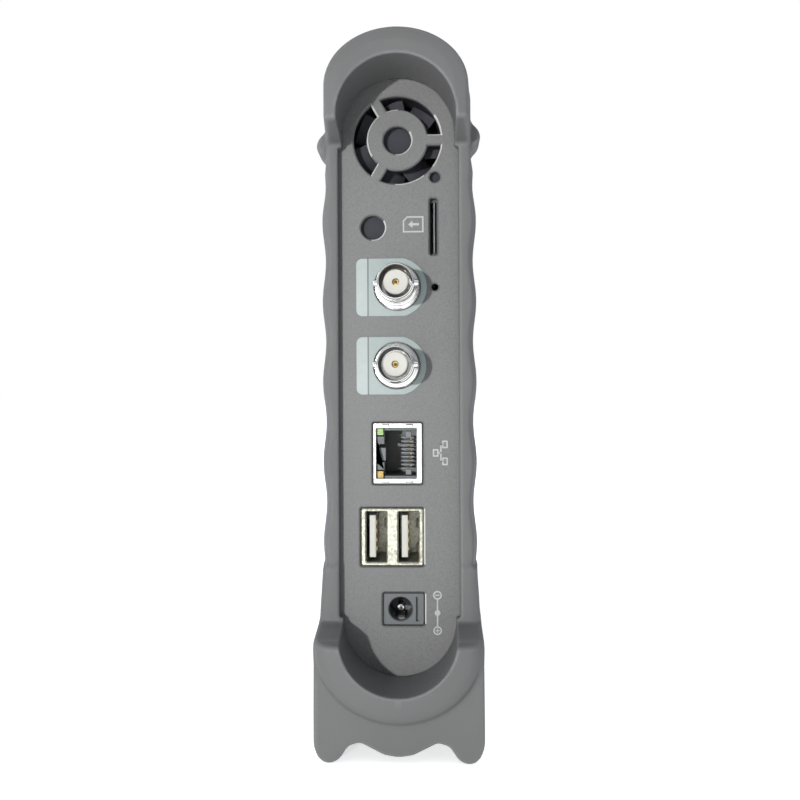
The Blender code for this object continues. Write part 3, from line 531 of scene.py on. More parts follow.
# Boot, modelled as a distance field so that every edge is rounded like moulded rubber
boot = {
    "voxel": 0.42,
    "triangles": 190000,
    "bodyHalf": 19.8,
    "bodyTop": 178.5,
    "archHeight": 14,
    "narrowing": (112, 119),
    "narrowHalf": 18.4,
    "rimHalf": 17.5,
    "upperTaper": ((0, 0), (138, 0), (149, 0.25), (153, 0.9), (162, 1.3)),
    "ribStep": 21.1,
    "ribDepth": 0.45,
    "ribZ": 94.3,
    "ribSpan": (38, 150),
    "lipX": 117.9,
    "lipHalf": 15.5,
    "lipSpan": (33.5, 154.6),
    "hoodBottom": 155.4,
    "hoodEdge": 1.2,
    "hoodSlope": 0.5,
    "skirtHalf": 21.2,
    "skirtX": 128,
    "skirtTop": 46,
    "chinHalf": 20.8,
    "chinBottom": 9.7,
    "chinTop": 32.3,
    "chinEdge": 4,
    "chinSlope": 1.3,
    "belly": ((0, 1.5), (3.5, 2), (9.6, 5.1), (12.6, 4.2), (14.6, 1)),
    "foot": ((16.4, 0), (18.4, 0), (20.2, 1.4), (21.2, 4), (24, 12)),
    "openHalf": 14.5,
    "openBottom": 17.4,
    "openTop": 173.2,
    "edge": 1.1,
    "fillet": 2.2,
    "frontLugZ": 155.6,
    "rearLugZ": 157.6,
    "lug": {"centre": (106, 19.4, 0), "size": (20, 3.8, 9), "edge": 1.2, "reach": 22.6},
    "windowHalf": 106,
    "windowSpan": (22, 167),
    "windowCorner": 7,
    "cavityX": 115.25,
    "cavity": (17.25, 9.75, 175.75, 9.25, 11.25),
}


def softMin(a, b, k):
    h = np.maximum(k - np.abs(a - b), 0)
    return np.minimum(a, b) - h * h / (4 * k)


def softMax(a, b, k):
    return -softMin(-a, -b, k)


def archField(y, z, half, bottom, top, bottomArch, topArch):
    above = np.maximum(z - (top - topArch), 0) / topArch
    below = np.maximum((bottom + bottomArch) - z, 0) / bottomArch
    rise = np.where(below > 0, below, above)
    arch = np.where(below > 0, bottomArch, topArch)
    size = np.sqrt((y / half) ** 2 + rise**2)
    slope = np.sqrt((y / half**2) ** 2 + (rise / arch) ** 2) / np.maximum(size, 1e-4)
    return (size - 1) / np.maximum(slope, 1e-4)


def boxField(x, y, z, centre, size, radius):
    dx = np.abs(x - centre[0]) - (size[0] / 2 - radius)
    dy = np.abs(y - centre[1]) - (size[1] / 2 - radius)
    dz = np.abs(z - centre[2]) - (size[2] / 2 - radius)
    outside = np.sqrt(np.maximum(dx, 0) ** 2 + np.maximum(dy, 0) ** 2 + np.maximum(dz, 0) ** 2)
    return outside + np.minimum(np.maximum(dx, np.maximum(dy, dz)), 0) - radius


def footLine(across):
    # height of the boot's lower edge: a belly, two valleys and two round feet
    fine = np.arange(0, 24, 0.1)
    height = np.interp(fine, *zip(*boot["belly"], *boot["foot"]))
    blur = np.ones(13) / 13
    for _ in range(2):
        height = np.convolve(np.pad(height, 6, "reflect", reflect_type="even"), blur, "valid")
    return np.interp(np.abs(across), fine, height)


def bootBody(x, y, z):
    b = boot
    start, end = b["narrowing"]
    widths = [b["bodyHalf"], b["bodyHalf"], b["narrowHalf"], b["rimHalf"]]
    half = np.interp(x, [0, start, end, halfLength], widths)
    half = half - np.interp(z, *zip(*b["upperTaper"])) * np.interp(x, [0, start, end], [1, 1, 0])
    top = np.interp(x, [0, 97, 107, halfLength], [b["bodyTop"], b["bodyTop"], topZ, topZ])
    low, high = b["ribSpan"]
    ribs = np.clip((x - 86) / 8, 0, 1) * np.clip((z - low) / 8, 0, 1) * np.clip((high - z) / 6, 0, 1)
    wave = b["ribDepth"] * np.cos(2 * np.pi * (z - b["ribZ"]) / b["ribStep"])
    body = archField(y, z, half + ribs * wave, 6, top, 8, b["archHeight"])
    return softMax(body, x - b["lipX"], b["edge"]), half, top


def bootHood(x, y, z, half, top):
    b = boot
    hood = archField(y, z, half, 100, top, 8, b["archHeight"])
    end = halfLength - b["hoodSlope"] * np.clip(1 + hood / 3.4, 0, 1)
    lower = b["hoodBottom"] + (x - b["lipX"]) * 0.16
    return softMax(softMax(hood, x - end, b["hoodEdge"]), lower - z, b["edge"])


def bootSkirt(x, y, z, upper):
    b = boot
    widths = [b["skirtHalf"], b["skirtHalf"], b["skirtHalf"] - 0.1, b["bodyHalf"]]
    skirt = np.maximum(np.abs(y) - np.interp(z, [0, 12, 28, b["skirtTop"]], widths), z - b["skirtTop"])
    skirt = softMax(softMax(skirt, x - b["skirtX"], b["edge"]), footLine(y) - z, 0.8)
    return softMax(skirt, np.minimum(x - b["lipX"], upper), b["edge"])


def bootChin(x, y, z, upper):
    b = boot
    chin = archField(y, z, b["chinHalf"], b["chinBottom"], 60, 18.6, 4)
    end = halfLength - b["chinSlope"] * np.clip(1 + chin / 7.7, 0, 1)
    return softMax(softMax(chin, x - end, b["chinEdge"]), upper, b["edge"])


def bootOuter(x, y, z):
    b = boot
    upper = z - (b["chinTop"] - (x - b["lipX"]) * 0.2)
    body, half, top = bootBody(x, y, z)
    field = softMin(body, bootSkirt(x, y, z, upper), b["fillet"])
    field = softMin(field, bootHood(x, y, z, half, top), 1.0)
    field = softMin(field, bootChin(x, y, z, upper), 0.9)
    up = z - np.where(y < 0, b["frontLugZ"], b["rearLugZ"])
    shape = b["lug"]
    lug = boxField(x, np.abs(y), up, shape["centre"], shape["size"], shape["edge"])
    lug = softMax(lug, (np.abs(up) + np.abs(y) - shape["reach"]) * math.sqrt(0.5), shape["edge"])
    return softMin(field, lug, 0.8)


def bootField(x, y, z):
    # the outer shape less the end openings, the case's cavity and the windows of both broad sides
    b = boot
    field = bootOuter(x, y, z)
    depth = 0.4 * np.clip((halfLength - x) / 17, 0, 1)
    half = b["openHalf"]
    opening = archField(y, z, half, b["openBottom"] + depth, b["openTop"] - depth, half, half)
    low, high = b["lipSpan"]
    lips = boxField(x, y, z, (halfLength, 0, (low + high) / 2), (60, 2 * b["lipHalf"], high - low), 0.5)
    field = softMax(field, -opening, 0.4)
    field = softMax(field, -lips, 0.5)
    field = np.maximum(field, -np.maximum(archField(y, z, *b["cavity"]), x - b["cavityX"]))
    low, high = b["windowSpan"]
    centre = (low + high) / 2
    width, corner = 2 * b["windowHalf"], b["windowCorner"]
    window = boxField(x, np.abs(y), z, (0, 24, centre), (width, 18, high - low), corner)
    rounding = boxField(x, 0, z, (0, 0, centre), (width, 40, high - low), corner)
    window = np.where(np.abs(y) > 15, rounding, window)
    return softMax(field, -window, 1.2)


def spaced(stops):
    # sample places whose spacing changes from stretch to stretch
    places = []
    for (start, gap), (end, _) in zip(stops, stops[1:]):
        count = max(1, round((end - start) / gap))
        places += [start + (end - start) * i / count for i in range(count)]
    return np.array(places + [stops[-1][0]], dtype=np.float32)


def markPaintedHighlight(mesh):
    # painted highlight: a lighter colour where the surface curves outwards sharply
    places = np.empty(len(mesh.vertices) * 3, dtype=np.float32)
    mesh.vertices.foreach_get("co", places)
    x, y, z = (places.reshape(-1, 3) / mm).T
    reach = rubber["highlightReach"]
    bend = -6 * bootField(np.abs(x), y, z)
    for side in (reach, -reach):
        bend += bootField(np.abs(x + side), y, z) + bootField(np.abs(x), y + side, z)
        bend += bootField(np.abs(x), y, z + side)
    low, high = rubber["highlightBend"]
    wear = np.clip((bend / reach**2 - low) / (high - low), 0, 1).astype(np.float32)
    mesh.attributes.new("wear", "FLOAT", "POINT").data.foreach_set("value", wear)


def bootSurface():
    # points and faces of the field's zero level, sampled over one half and mirrored
    fine = boot["voxel"] * 1
    xs = spaced([(0, 2.5), (92, 1.1), (111, fine), (halfLength + 2, fine)])
    ys = spaced([(-23, fine), (23, fine)])
    zs = spaced([(-2, fine), (48, 1.4), (148, fine), (topZ + 2, fine)])
    half = bootField(xs[:, None, None], ys[None, :, None], zs[None, None, :])
    half = np.clip(half, -3, 3).astype(np.float32)
    grid = openvdb.FloatGrid(3.0)
    grid.copyFromArray(np.concatenate((half[:0:-1], half), axis=0), (0, 0, 0), 0.0001)
    points, triangles, quads = grid.convertToPolygons(isovalue=0.0, adaptivity=0.0)
    for axis, places in enumerate((np.concatenate((-xs[:0:-1], xs)), ys, zs)):
        points[:, axis] = np.interp(points[:, axis], np.arange(len(places)), places)
    faces = [tuple(f) for f in triangles] + [tuple(f) for f in quads]
    return np.clip(points, *corners("rubber_boot")), faces


def makeBoot():
    points, faces = bootSurface()
    mesh = bpy.data.meshes.new("rubberBoot")
    mesh.from_pydata((points * mm).tolist(), [], faces)
    paint(mesh, "boot")
    piece = linked("rubberBoot", mesh)
    work = workOn(mesh)
    bmesh.ops.triangulate(work, faces=work.faces)
    if work.calc_volume(signed=True) < 0:
        bmesh.ops.reverse_faces(work, faces=work.faces)
    count = len(work.faces)
    endWork(work, mesh)
    if count > boot["triangles"]:
        piece.modifiers.new("thin", "DECIMATE").ratio = boot["triangles"] / count
        shaded(applied(piece), 60)
    print("boot has", count, "triangles, kept", len(piece.data.polygons))
    # painted highlight along the boot's convex edges
    markPaintedHighlight(piece.data)
    piece.data.shade_smooth()
    placed(piece, "boot_rubber", "rubber_boot")


# Geometry Nodes
def startTree(name, sizes):
    tree = bpy.data.node_groups.new(name, "GeometryNodeTree")
    tree.interface.new_socket("Geometry", in_out="OUTPUT", socket_type="NodeSocketGeometry")
    tree.interface.new_socket("Places", in_out="INPUT", socket_type="NodeSocketGeometry")
    kinds = {int: "NodeSocketInt", float: "NodeSocketFloat"}
    for label, size in sizes.items():
        tree.interface.new_socket(label, in_out="INPUT", socket_type=kinds[type(size)])
    return tree, tree.nodes.new("NodeGroupInput").outputs


def endTree(tree, shape, finish):
    real = step(tree, "GeometryNodeRealizeInstances", {"Geometry": shape})
    painted = step(tree, "GeometryNodeSetMaterial", {"Geometry": real, "Material": finishes[finish]})
    tree.links.new(painted, tree.nodes.new("NodeGroupOutput").inputs[0])
    return tree


def lineOf(tree, count, offset):
    return step(tree, "GeometryNodeMeshLine", {"Count": count, "Offset": offset}, mode="OFFSET")


def rowAlongZ(tree, given):
    return lineOf(tree, given["Count"], vector(tree, Z=metres(tree, given["Pitch"])))


def instanced(tree, points, shape, turn=(0, 0, 0)):
    inputs = {"Points": points, "Instance": shape, "Rotation": turn}
    return step(tree, "GeometryNodeInstanceOnPoints", inputs)


def transformed(tree, shape, **change):
    return step(tree, "GeometryNodeTransform", {"Geometry": shape, **change})


def cube(tree, x, y, z):
    return step(tree, "GeometryNodeMeshCube", {"Size": vector(tree, X=x, Y=y, Z=z)})


def tube(tree, path, resolution, radius):
    section = step(tree, "GeometryNodeCurvePrimitiveCircle", {"Resolution": resolution, "Radius": radius})
    inputs = {"Curve": path, "Profile Curve": section, "Fill Caps": True}
    return step(tree, "GeometryNodeCurveToMesh", inputs)


def grown(name, tree, sizes, places=((0, 0, 0),)):
    # runs a tree on a few loose points and keeps the result as a plain mesh
    mesh = bpy.data.meshes.new(name)
    mesh.from_pydata([tuple(c * mm for c in p) for p in places], [], [])
    piece = linked(name, mesh)
    modifier = piece.modifiers.new("build", "NODES")
    modifier.node_group = tree
    for item in tree.interface.items_tree:
        if item.in_out == "INPUT" and item.name in sizes:
            modifier[item.identifier] = sizes[item.name]
    return shaded(applied(piece))


def moved(piece, place):
    piece.data.transform(Matrix.Translation(Vector(place) * mm))
    return piece


# Connector end
panel = {
    "chamfer": 0.36,
    "lowArch": 9,
    "highArch": 11,
    "ringReach": 11.4,
    "hubReach": 7.95,
    "hubHole": 3.65,
    "spoke": 2.8,
    "pinHole": (9.5, 147.4, 1.4),
    "antennaHole": (-6.7, 134.4, 3.15),
    "ledHole": (9.4, 118.8, 0.9),
    "cardSlot": (2.15, 14.8),
    "bayonetHole": 5.1,
    "cutoutRoom": 0.16,
    "portHole": 6.4,
}


def archOutline(node, steps=40):
    # the panel's outline: straight sides between a lower and an upper arch
    low, high = corners(node)
    points = []
    for side, edge, arch in ((1, high[2], panel["highArch"]), (-1, low[2], -panel["lowArch"])):
        for count in range(steps + 1):
            angle = math.pi * count / steps
            points.append((side * high[1] * math.cos(angle), edge - arch + arch * math.sin(angle)))
    return points


def grilleOpening(centre, turn):
    half = panel["spoke"] / 2
    outer = math.degrees(math.asin(half / panel["ringReach"]))
    inner = math.degrees(math.asin(half / panel["hubReach"]))
    far = arcPoints(centre, panel["ringReach"], turn + outer, turn + 120 - outer, 32)
    near = arcPoints(centre, panel["hubReach"], turn + 120 - inner, turn + inner, 28)
    return far + near


def slotOutline(node):
    room = 2 * panel["cutoutRoom"]
    centre, width, height = sectionOf(node)
    return roundedBox(centre, width + room, height + room, 0.6, 4)


def makeConnectorPanel():
    low, high = corners("connector_panel")
    fan = middle("fan_rotor")[1:]
    card = middle("card_socket")[1:]
    sockets = [middle(f"bnc_{number}_shell")[1:] for number in (1, 2)]
    outlines = [archOutline("connector_panel"), ringPoints(fan, panel["hubHole"], 64)]
    outlines += [grilleOpening(fan, turn) for turn in (0, 120, 240)]
    for name, count in (("pinHole", 32), ("antennaHole", 56), ("ledHole", 24)):
        *centre, radius = panel[name]
        outlines.append(ringPoints(centre, radius, count))
    outlines.append(roundedBox(card, *panel["cardSlot"], 0.6, 4))
    outlines += [slotOutline(node) for node in ("lan_shield", "usb_shell", "dc_jack_body")]
    outlines += [ringPoints(centre, panel["bayonetHole"], 48) for centre in sockets]
    # openings whose edges get no painted highlight
    painted = [(*panel[name][:2], 3, 3) for name in ("pinHole", "ledHole")]
    painted += [(*card, 3, 9), (*middle("lan_shield")[1:], 8.5, 9)]
    painted += [(*centre, 5.6, 5.6) for centre in sockets]
    painted += [(middle(node)[1], corners(node)[0][2], 10, 0.6) for node in ("usb_shell", "dc_jack_body")]
    chamfer = panel["chamfer"]
    plate = plateOf("connectorPanel", outlines, low[0], high[0], chamfer, "paint", "bareEdgeHighlight", painted)
    placed(plate, "panel_paint", "connector_panel")


makeConnectorPanel()


# Small printed pictograms beside the openings
marks = {
    "height": 0.04,
    "line": 0.38,
    "cardAt": (3.8, 135.1),
    "networkAt": (10.6, 75.7),
    "polarityAt": (9.7, 34.1),
}


def markPlate(name, *outlines):
    return plateOf(name, outlines, panelX - 0.01, panelX + marks["height"], 0, "mark")


def bar(y, z, width, height):
    return roundedBox((y, z), width, height, min(width, height) / 4, 2)


def cardMark(y, z):
    w, h, c, t = 2.7, 2.1, 1.1, marks["line"]
    outer = [(y - w, z - h), (y + w, z - h), (y + w, z + h), (y - w + c, z + h), (y - w, z + h - c)]
    inner = [(y - w + t, z - h + t), (y + w - t, z - h + t), (y + w - t, z + h - t)]
    inner += [(y - w + c + 0.15, z + h - t), (y - w + t, z + h - c - 0.15)]
    arrow = [(y - 1.3, z), (y - 0.2, z + 0.95), (y - 0.2, z + 0.3), (y + 1.5, z + 0.3)]
    arrow += [(y + 1.5, z - 0.3), (y - 0.2, z - 0.3), (y - 0.2, z - 0.95)]
    return [markPlate("cardMarkEdge", outer, inner), markPlate("cardMarkArrow", arrow)]


def networkMark(y, z):
    t = marks["line"]
    pieces = []
    for side, level in ((-1.2, 0), (1.2, 2.2), (1.2, -2.2)):
        box = (y + side, z + level)
        inner = roundedBox(box, 1.5 - 2 * t, 2.0 - 2 * t, 0.08, 2)
        pieces.append(markPlate("networkMarkBox", roundedBox(box, 1.5, 2.0, 0.15, 2), inner))
    pieces.append(markPlate("networkMarkStem", bar(y - 0.1, z, 0.7, t)))
    pieces.append(markPlate("networkMarkBar", bar(y + 0.15, z, t, 4.7)))
    return pieces + [markPlate("networkMarkArm", bar(y + 0.3, z + level, 0.6, t)) for level in (2.2, -2.2)]


def polarityMark(y, z):
    t = marks["line"]
    pieces = []
    for level, tall in ((-4.6, 0.3), (4.6, 1.1)):
        ring = [ringPoints((y, z + level), radius, 28) for radius in (1.15, 1.15 - t)]
        pieces.append(markPlate("polarityRing", *ring))
        pieces.append(markPlate("polaritySign", bar(y, z + level, tall, 0.3)))
    pieces.append(markPlate("polarityPlus", bar(y, z - 4.6, 0.3, 1.1)))
    pieces.append(markPlate("polarityPlusArm", bar(y, z - 4.6, 1.1, 0.3)))
    pieces.append(markPlate("polarityDot", ringPoints((y, z), 0.75, 24)))
    return pieces + [markPlate("polarityLine", bar(y, z + level, t, 2.7)) for level in (-2.1, 2.1)]


def makeMarks():
    drawn = cardMark(*marks["cardAt"]) + networkMark(*marks["networkAt"])
    drawn += polarityMark(*marks["polarityAt"])
    placed(joined("printedMarks", drawn), "label_print")


makeMarks()


# Labels round the two output sockets
label = {"arc": 7.7, "left": -11.1, "tall": 15.0, "corner": 1.6, "opening": 6.2, "lift": 0.2}


def makeLabel(number):
    y, z = middle(f"bnc_{number}_shell")[1:]
    half = label["tall"] / 2
    start = math.degrees(math.asin(half / label["arc"]))
    corner = label["corner"]
    outline = [(p, q + z) for p, q in arcPoints((y, 0), label["arc"], -start, start, 24)]
    for level, first in ((1, 90), (-1, 180)):
        centre = (label["left"] + corner, z + level * (half - corner))
        outline += arcPoints(centre, corner, first, first + 90, 8)
    openings = [outline, ringPoints((y, z), label["opening"], 64)]
    sheet = plateOf(f"socketLabel{number}", openings, panelX - 0.2, panelX + label["lift"], 0.06, "label")
    placed(sheet, "label_print", f"bnc_{number}_label")


for number in (1, 2):
    makeLabel(number)
print("connector panel and labels made")


# Bayonet sockets
bayonet = {
    "barrel": 4.8,
    "lugX": 4.5,
    "lugReach": 5.0,
    "bore": 4.1,
    "neck": 3.1,
    "contact": 0.72,
    "lug": 0.95,
    "flange": [(0, 4.0), (0, 5.75), (0.25, 6.0), (1.25, 6.0), (1.6, 5.65)],
    "step": [(1.65, 5.15), (2.1, 4.95), (2.2, 4.55), (3.0, 4.5)],
}


def bayonetLug(centre, tip, side):
    reach = bayonet["lug"]
    rings = []
    for out, radius in ((-0.5, reach), (0.45, reach), (0.62, reach - 0.2), (0.66, 0.01)):
        ring = ringPoints((tip - bayonet["lugX"], centre[1]), radius, 20)
        across = centre[0] + side * bayonet["lugReach"] + side * out
        rings.append([(x, across, z) for x, z in ring])
    return skin("bayonetLug", rings, "chrome")


def makeBayonetSocket(number):
    centre = middle(f"bnc_{number}_contact")[1:]
    tip = corners(f"bnc_{number}_shell")[1][0]
    b, r, n, c = (bayonet[name] for name in ("barrel", "bore", "neck", "contact"))
    base = panelX - 0.2
    profile = [(base + x, radius) for x, radius in bayonet["flange"] + bayonet["step"]]
    profile += [(base + 3.3, b), (tip - 5.9, b), (tip - 5.7, b - 0.12), (tip - 1.4, b - 0.12)]
    profile += [(tip - 1.2, b - 0.3), (tip - 0.35, b - 0.3), (tip - 0.1, b - 0.42), (tip, b - 0.6)]
    profile += [(tip, r + 0.12), (tip - 0.35, r), (base + 3.4, r), (base + 3.2, r - 0.2)]
    profile += [(base + 3.2, 3.0), (base + 2.9, 2.9)]
    profile += [(base - 10, 2.9), (base - 10, 4.4), (base - 0.3, 4.4)]
    parts = [turnedX("bayonetShell", profile, centre, "chrome", 96)]
    parts += [bayonetLug(centre, tip, side) for side in (-1, 1)]
    placed(joined(f"bayonetShell{number}", parts), "chrome", f"bnc_{number}_shell")
    core = [(tip - 2.1, 0.85), (tip - 2.0, 0.95), (tip - 2.0, n - 0.2), (tip - 2.2, n), (base + 3.6, n)]
    core += [(base + 3.35, 2.85), (base + 3.3, 2.8), (base - 9, 2.8), (base - 9, 0.85)]
    node = f"bnc_{number}_insulator"
    turnedPiece(node, f"bayonetInsulator{number}", core, centre, "ivory", 48, "white_plastic")
    pin = [(base - 11, 0.3), (base - 11, c), (tip - 3.05, c), (tip - 3.0, c - 0.08), (tip - 3.0, 0.46)]
    pin += [(tip - 3.2, 0.4), (tip - 7, 0.4), (tip - 7, 0.3)]
    turnedPiece(f"bnc_{number}_contact", f"bayonetContact{number}", pin, centre, "brass", 32, "gold")


for number in (1, 2):
    makeBayonetSocket(number)


# Network socket, lying on its side with the latch to the left
lan = {
    "wall": 0.45,
    "face": 0.8,
    "barLeft": 0.9,
    "barRight": 1.6,
    "barEnds": 1.45,
    "fingers": 3.1,
    "finger": [(-1.1, -0.5, 0.1), (1.1, -0.5, 0.1), (0.8, 0.55, 0.55), (-0.8, 0.55, 0.55)],
    "fingerSheet": 0.35,
    "cheeks": 4.95,
}
wires = {"Count": 8, "Pitch": 1.02, "Length": 7.0, "Width": 0.3}


def lanFinger(front, y, z, level):
    rings = []
    for deep in (0, lan["fingerSheet"]):
        rings.append([(front + dx, y + dy, z - level * (dz + deep)) for dy, dx, dz in lan["finger"]])
    return softened(skin("lanFinger", rings, "steel"), 0.06)


def lanShell():
    low, high = corners("lan_shield")
    (cy, cz), width, height = sectionOf("lan_shield")
    front = high[0]
    left, right, ends, wall = (lan[name] for name in ("barLeft", "barRight", "barEnds", "wall"))
    port = roundedBox((cy + (left - right) / 2, cz), width - left - right, height - 2 * ends, 0.25, 3)
    edge = roundedBox((cy, cz), width, height, 0.5, 5)
    inner = roundedBox((cy, cz), width - 2 * wall, height - 2 * wall, 0.3, 4)
    parts = [plateOf("lanFace", [edge, port], front - lan["face"], front, 0.2, "steel")]
    parts.append(plateOf("lanSleeve", [edge, inner], low[0], front - lan["face"] + 0.05, 0.05, "steel"))
    for level in (-1, 1):
        for y in (cy - lan["fingers"], cy + lan["fingers"]):
            parts.append(lanFinger(front, y, cz + level * height / 2, level))
    placed(joined("lanShield", parts), "steel", "lan_shield")


def lanInside():
    low, high = corners("lan_shield")
    cz = middle("lan_shield")[2]
    front, right = high[:2]
    blocks = []
    for index in range(wires["Count"] + 1):
        z = cz + (index - wires["Count"] / 2) * wires["Pitch"]  # a rib on each side of every wire
        spot = (front - 6.8, right - 5.6, z - 0.22), (front - 2.6, right - 2.2, z + 0.22)
        blocks.append(blockOf("lanComb", *spot, "greyPlastic", 0.05, 1))
    for z in (cz - lan["cheeks"], cz + lan["cheeks"]):
        spot = (front - 4, right - 4.4, z - 0.75), (front - 1.4, right - 2.9, z + 0.75)
        blocks.append(blockOf("lanCheek", *spot, "greyPlastic", 0.12))
    spot = (front - 5, low[1] + 1.2, cz - 2.1), (front - 2.2, low[1] + 3.3, cz + 1.4)
    blocks.append(blockOf("lanLatchStop", *spot, "greyPlastic"))
    placed(joined("lanComb", blocks), "black_plastic")


def wireTree():
    tree, given = startTree("networkWires", wires)
    width = metres(tree, given["Width"])
    wire = cube(tree, metres(tree, given["Length"]), width, width)
    return endTree(tree, instanced(tree, rowAlongZ(tree, given), wire, (0, 0, 0.22)), "brass")


def makeNetworkSocket():
    lanShell()
    refined("lan_insert", "jackPlastic", 0.12, "black_plastic")
    lanInside()
    refined("lan_led_upper", "greenLens", 0.15, "green_lens", "lanLedUpper")
    refined("lan_led_lower", "yellowLens", 0.15, "yellow_lens", "lanLedlower")
    high = corners("lan_insert")[1]
    start = middle("lan_insert")[2] - wires["Pitch"] * (wires["Count"] - 1) / 2
    piece = grown("networkWires", wireTree(), wires)
    placed(moved(piece, (high[0] - 6.5, high[1] - 3.0, start)), "gold")


makeNetworkSocket()
print("network socket made")


# Double host socket, standing on edge
usb = {"portWidth": 5.3, "portHeight": 13.1, "wallLeft": 1.4, "middle": 3.1, "depth": 15, "fold": 0.35}
springs = {
    "apart": 3.2,
    "half": 1.05,
    "sheet": 0.25,
    "bow": [(-1.6, 0.1), (-3.2, -0.75), (-5.0, -0.6), (-7.5, 0.1)],
}
usbWires = {"Count": 4, "Pitch": 2.3, "Length": 7.5, "Width": 1.0}


def hostSpring(front, right, z):
    low, high = z - springs["half"], z + springs["half"]
    rings = []
    for x, y in springs["bow"]:
        x += front
        near, far = right + y, right + y + springs["sheet"]
        rings.append([(x, near, low), (x, near, high), (x, far, high), (x, far, low)])
    return skin("hostSpring", rings, "tin")


def makeHostSocket():
    low, high = corners("usb_shell")
    centre, width, height = sectionOf("usb_shell")
    front = high[0]
    back = front - usb["depth"]
    outlines = [roundedBox(centre, width, height, 0.6, 5)]
    rights = []
    for index in range(2):
        left = low[1] + usb["wallLeft"] + index * (usb["portWidth"] + usb["middle"])
        rights.append(left + usb["portWidth"])
        spot = ((left + rights[-1]) / 2, centre[1])
        outlines.append(roundedBox(spot, usb["portWidth"], usb["portHeight"], 0.35, 3))
    parts = [plateOf("hostShell", outlines, back, front, usb["fold"], "tin")]
    inner = (low[0], low[1] + 0.3, low[2] + 0.3), (back + 0.05, high[1] - 0.3, high[2] - 0.3)
    parts.append(blockOf("hostBack", *inner, "tin"))
    for right in rights:
        parts += [hostSpring(front, right, centre[1] + side * springs["apart"]) for side in (-1, 1)]
    placed(joined("hostShell", parts), "steel", "usb_shell")
    for side in ("front", "rear"):
        refined(f"usb_tongue_{side}", "ivory", 0.2, "white_plastic", f"hostTongue{side.title()}")


def contactTree():
    tree, given = startTree("hostContacts", usbWires)
    strip = cube(tree, metres(tree, given["Length"]), 0.0003, metres(tree, given["Width"]))
    return endTree(tree, instanced(tree, rowAlongZ(tree, given), strip), "brass")


def makeHostContacts():
    tree = contactTree()
    strips = []
    for side in ("front", "rear"):
        high = corners(f"usb_tongue_{side}")[1]
        start = middle(f"usb_tongue_{side}")[2] - usbWires["Pitch"] * (usbWires["Count"] - 1) / 2
        place = (high[0] - 1.6 - usbWires["Length"] / 2, high[1], start)
        strips.append(moved(grown("hostContacts", tree, usbWires), place))
    placed(joined("hostContacts", strips), "gold")


makeHostSocket()
makeHostContacts()


# Power socket
power = {"hole": 3.05, "pin": 1.0, "rim": 0.25, "face": 10, "leafHalf": 0.9, "leafSheet": 0.2, "bow": 0.5}


def powerLeaf(front, y, z):
    half = power["leafHalf"]
    rings = []
    for x, bow in ((front - 8, power["bow"]), (front - 3, power["bow"]), (front - 2.4, 0)):
        top = z - power["hole"] + 0.15 + bow
        low = top - power["leafSheet"]
        rings.append([(x, y - half, top), (x, y + half, top), (x, y + half, low), (x, y - half, low)])
    return skin("powerLeaf", rings, "steel")


def makePowerSocket():
    low, high = corners("dc_jack_body")
    y, z = middle("dc_jack_pin")[1:]
    front = high[0]
    centre, width, height = sectionOf("dc_jack_body")
    outlines = [roundedBox(centre, width, height, 0.45, 4), ringPoints((y, z), power["hole"], 64)]
    face = plateOf("powerFace", outlines, front - power["face"], front, power["rim"], "jackPlastic")
    back = blockOf("powerBack", low, (front - power["face"] + 0.05, *high[1:]), "jackPlastic")
    spot = (front - 1.1, high[1] - 2.2, low[2] + 1.0), (front + 1, high[1] - 1.5, high[2] - 1.0)
    carved(face, blockOf("powerSlot", *spot, "jackPlastic", 0))
    placed(joined("powerSocket", [face, back]), "black_plastic", "dc_jack_body")
    start, tip = (corner[0] for corner in corners("dc_jack_pin"))
    profile = [(start, 0.3), (start, power["pin"]), (tip - 0.5, power["pin"]), (tip - 0.12, 0.8)]
    profile += [(tip, 0.45), (tip - 0.3, 0.4), (tip - 2, 0.35), (tip - 2, 0.3)]
    turnedPiece("dc_jack_pin", "powerPin", profile, (y, z), "chrome", 32, "gold")
    placed(powerLeaf(front, y, z), "steel")


makePowerSocket()
refined("card_socket", "blackPlastic", 0.15, "steel")
print("sockets made")


# Cooling fan
fan = {"Blades": 7, "Hub": 5.4, "Reach": 11.2, "Chord": 7.6, "Lean": 1.15, "Bend": -55.0}


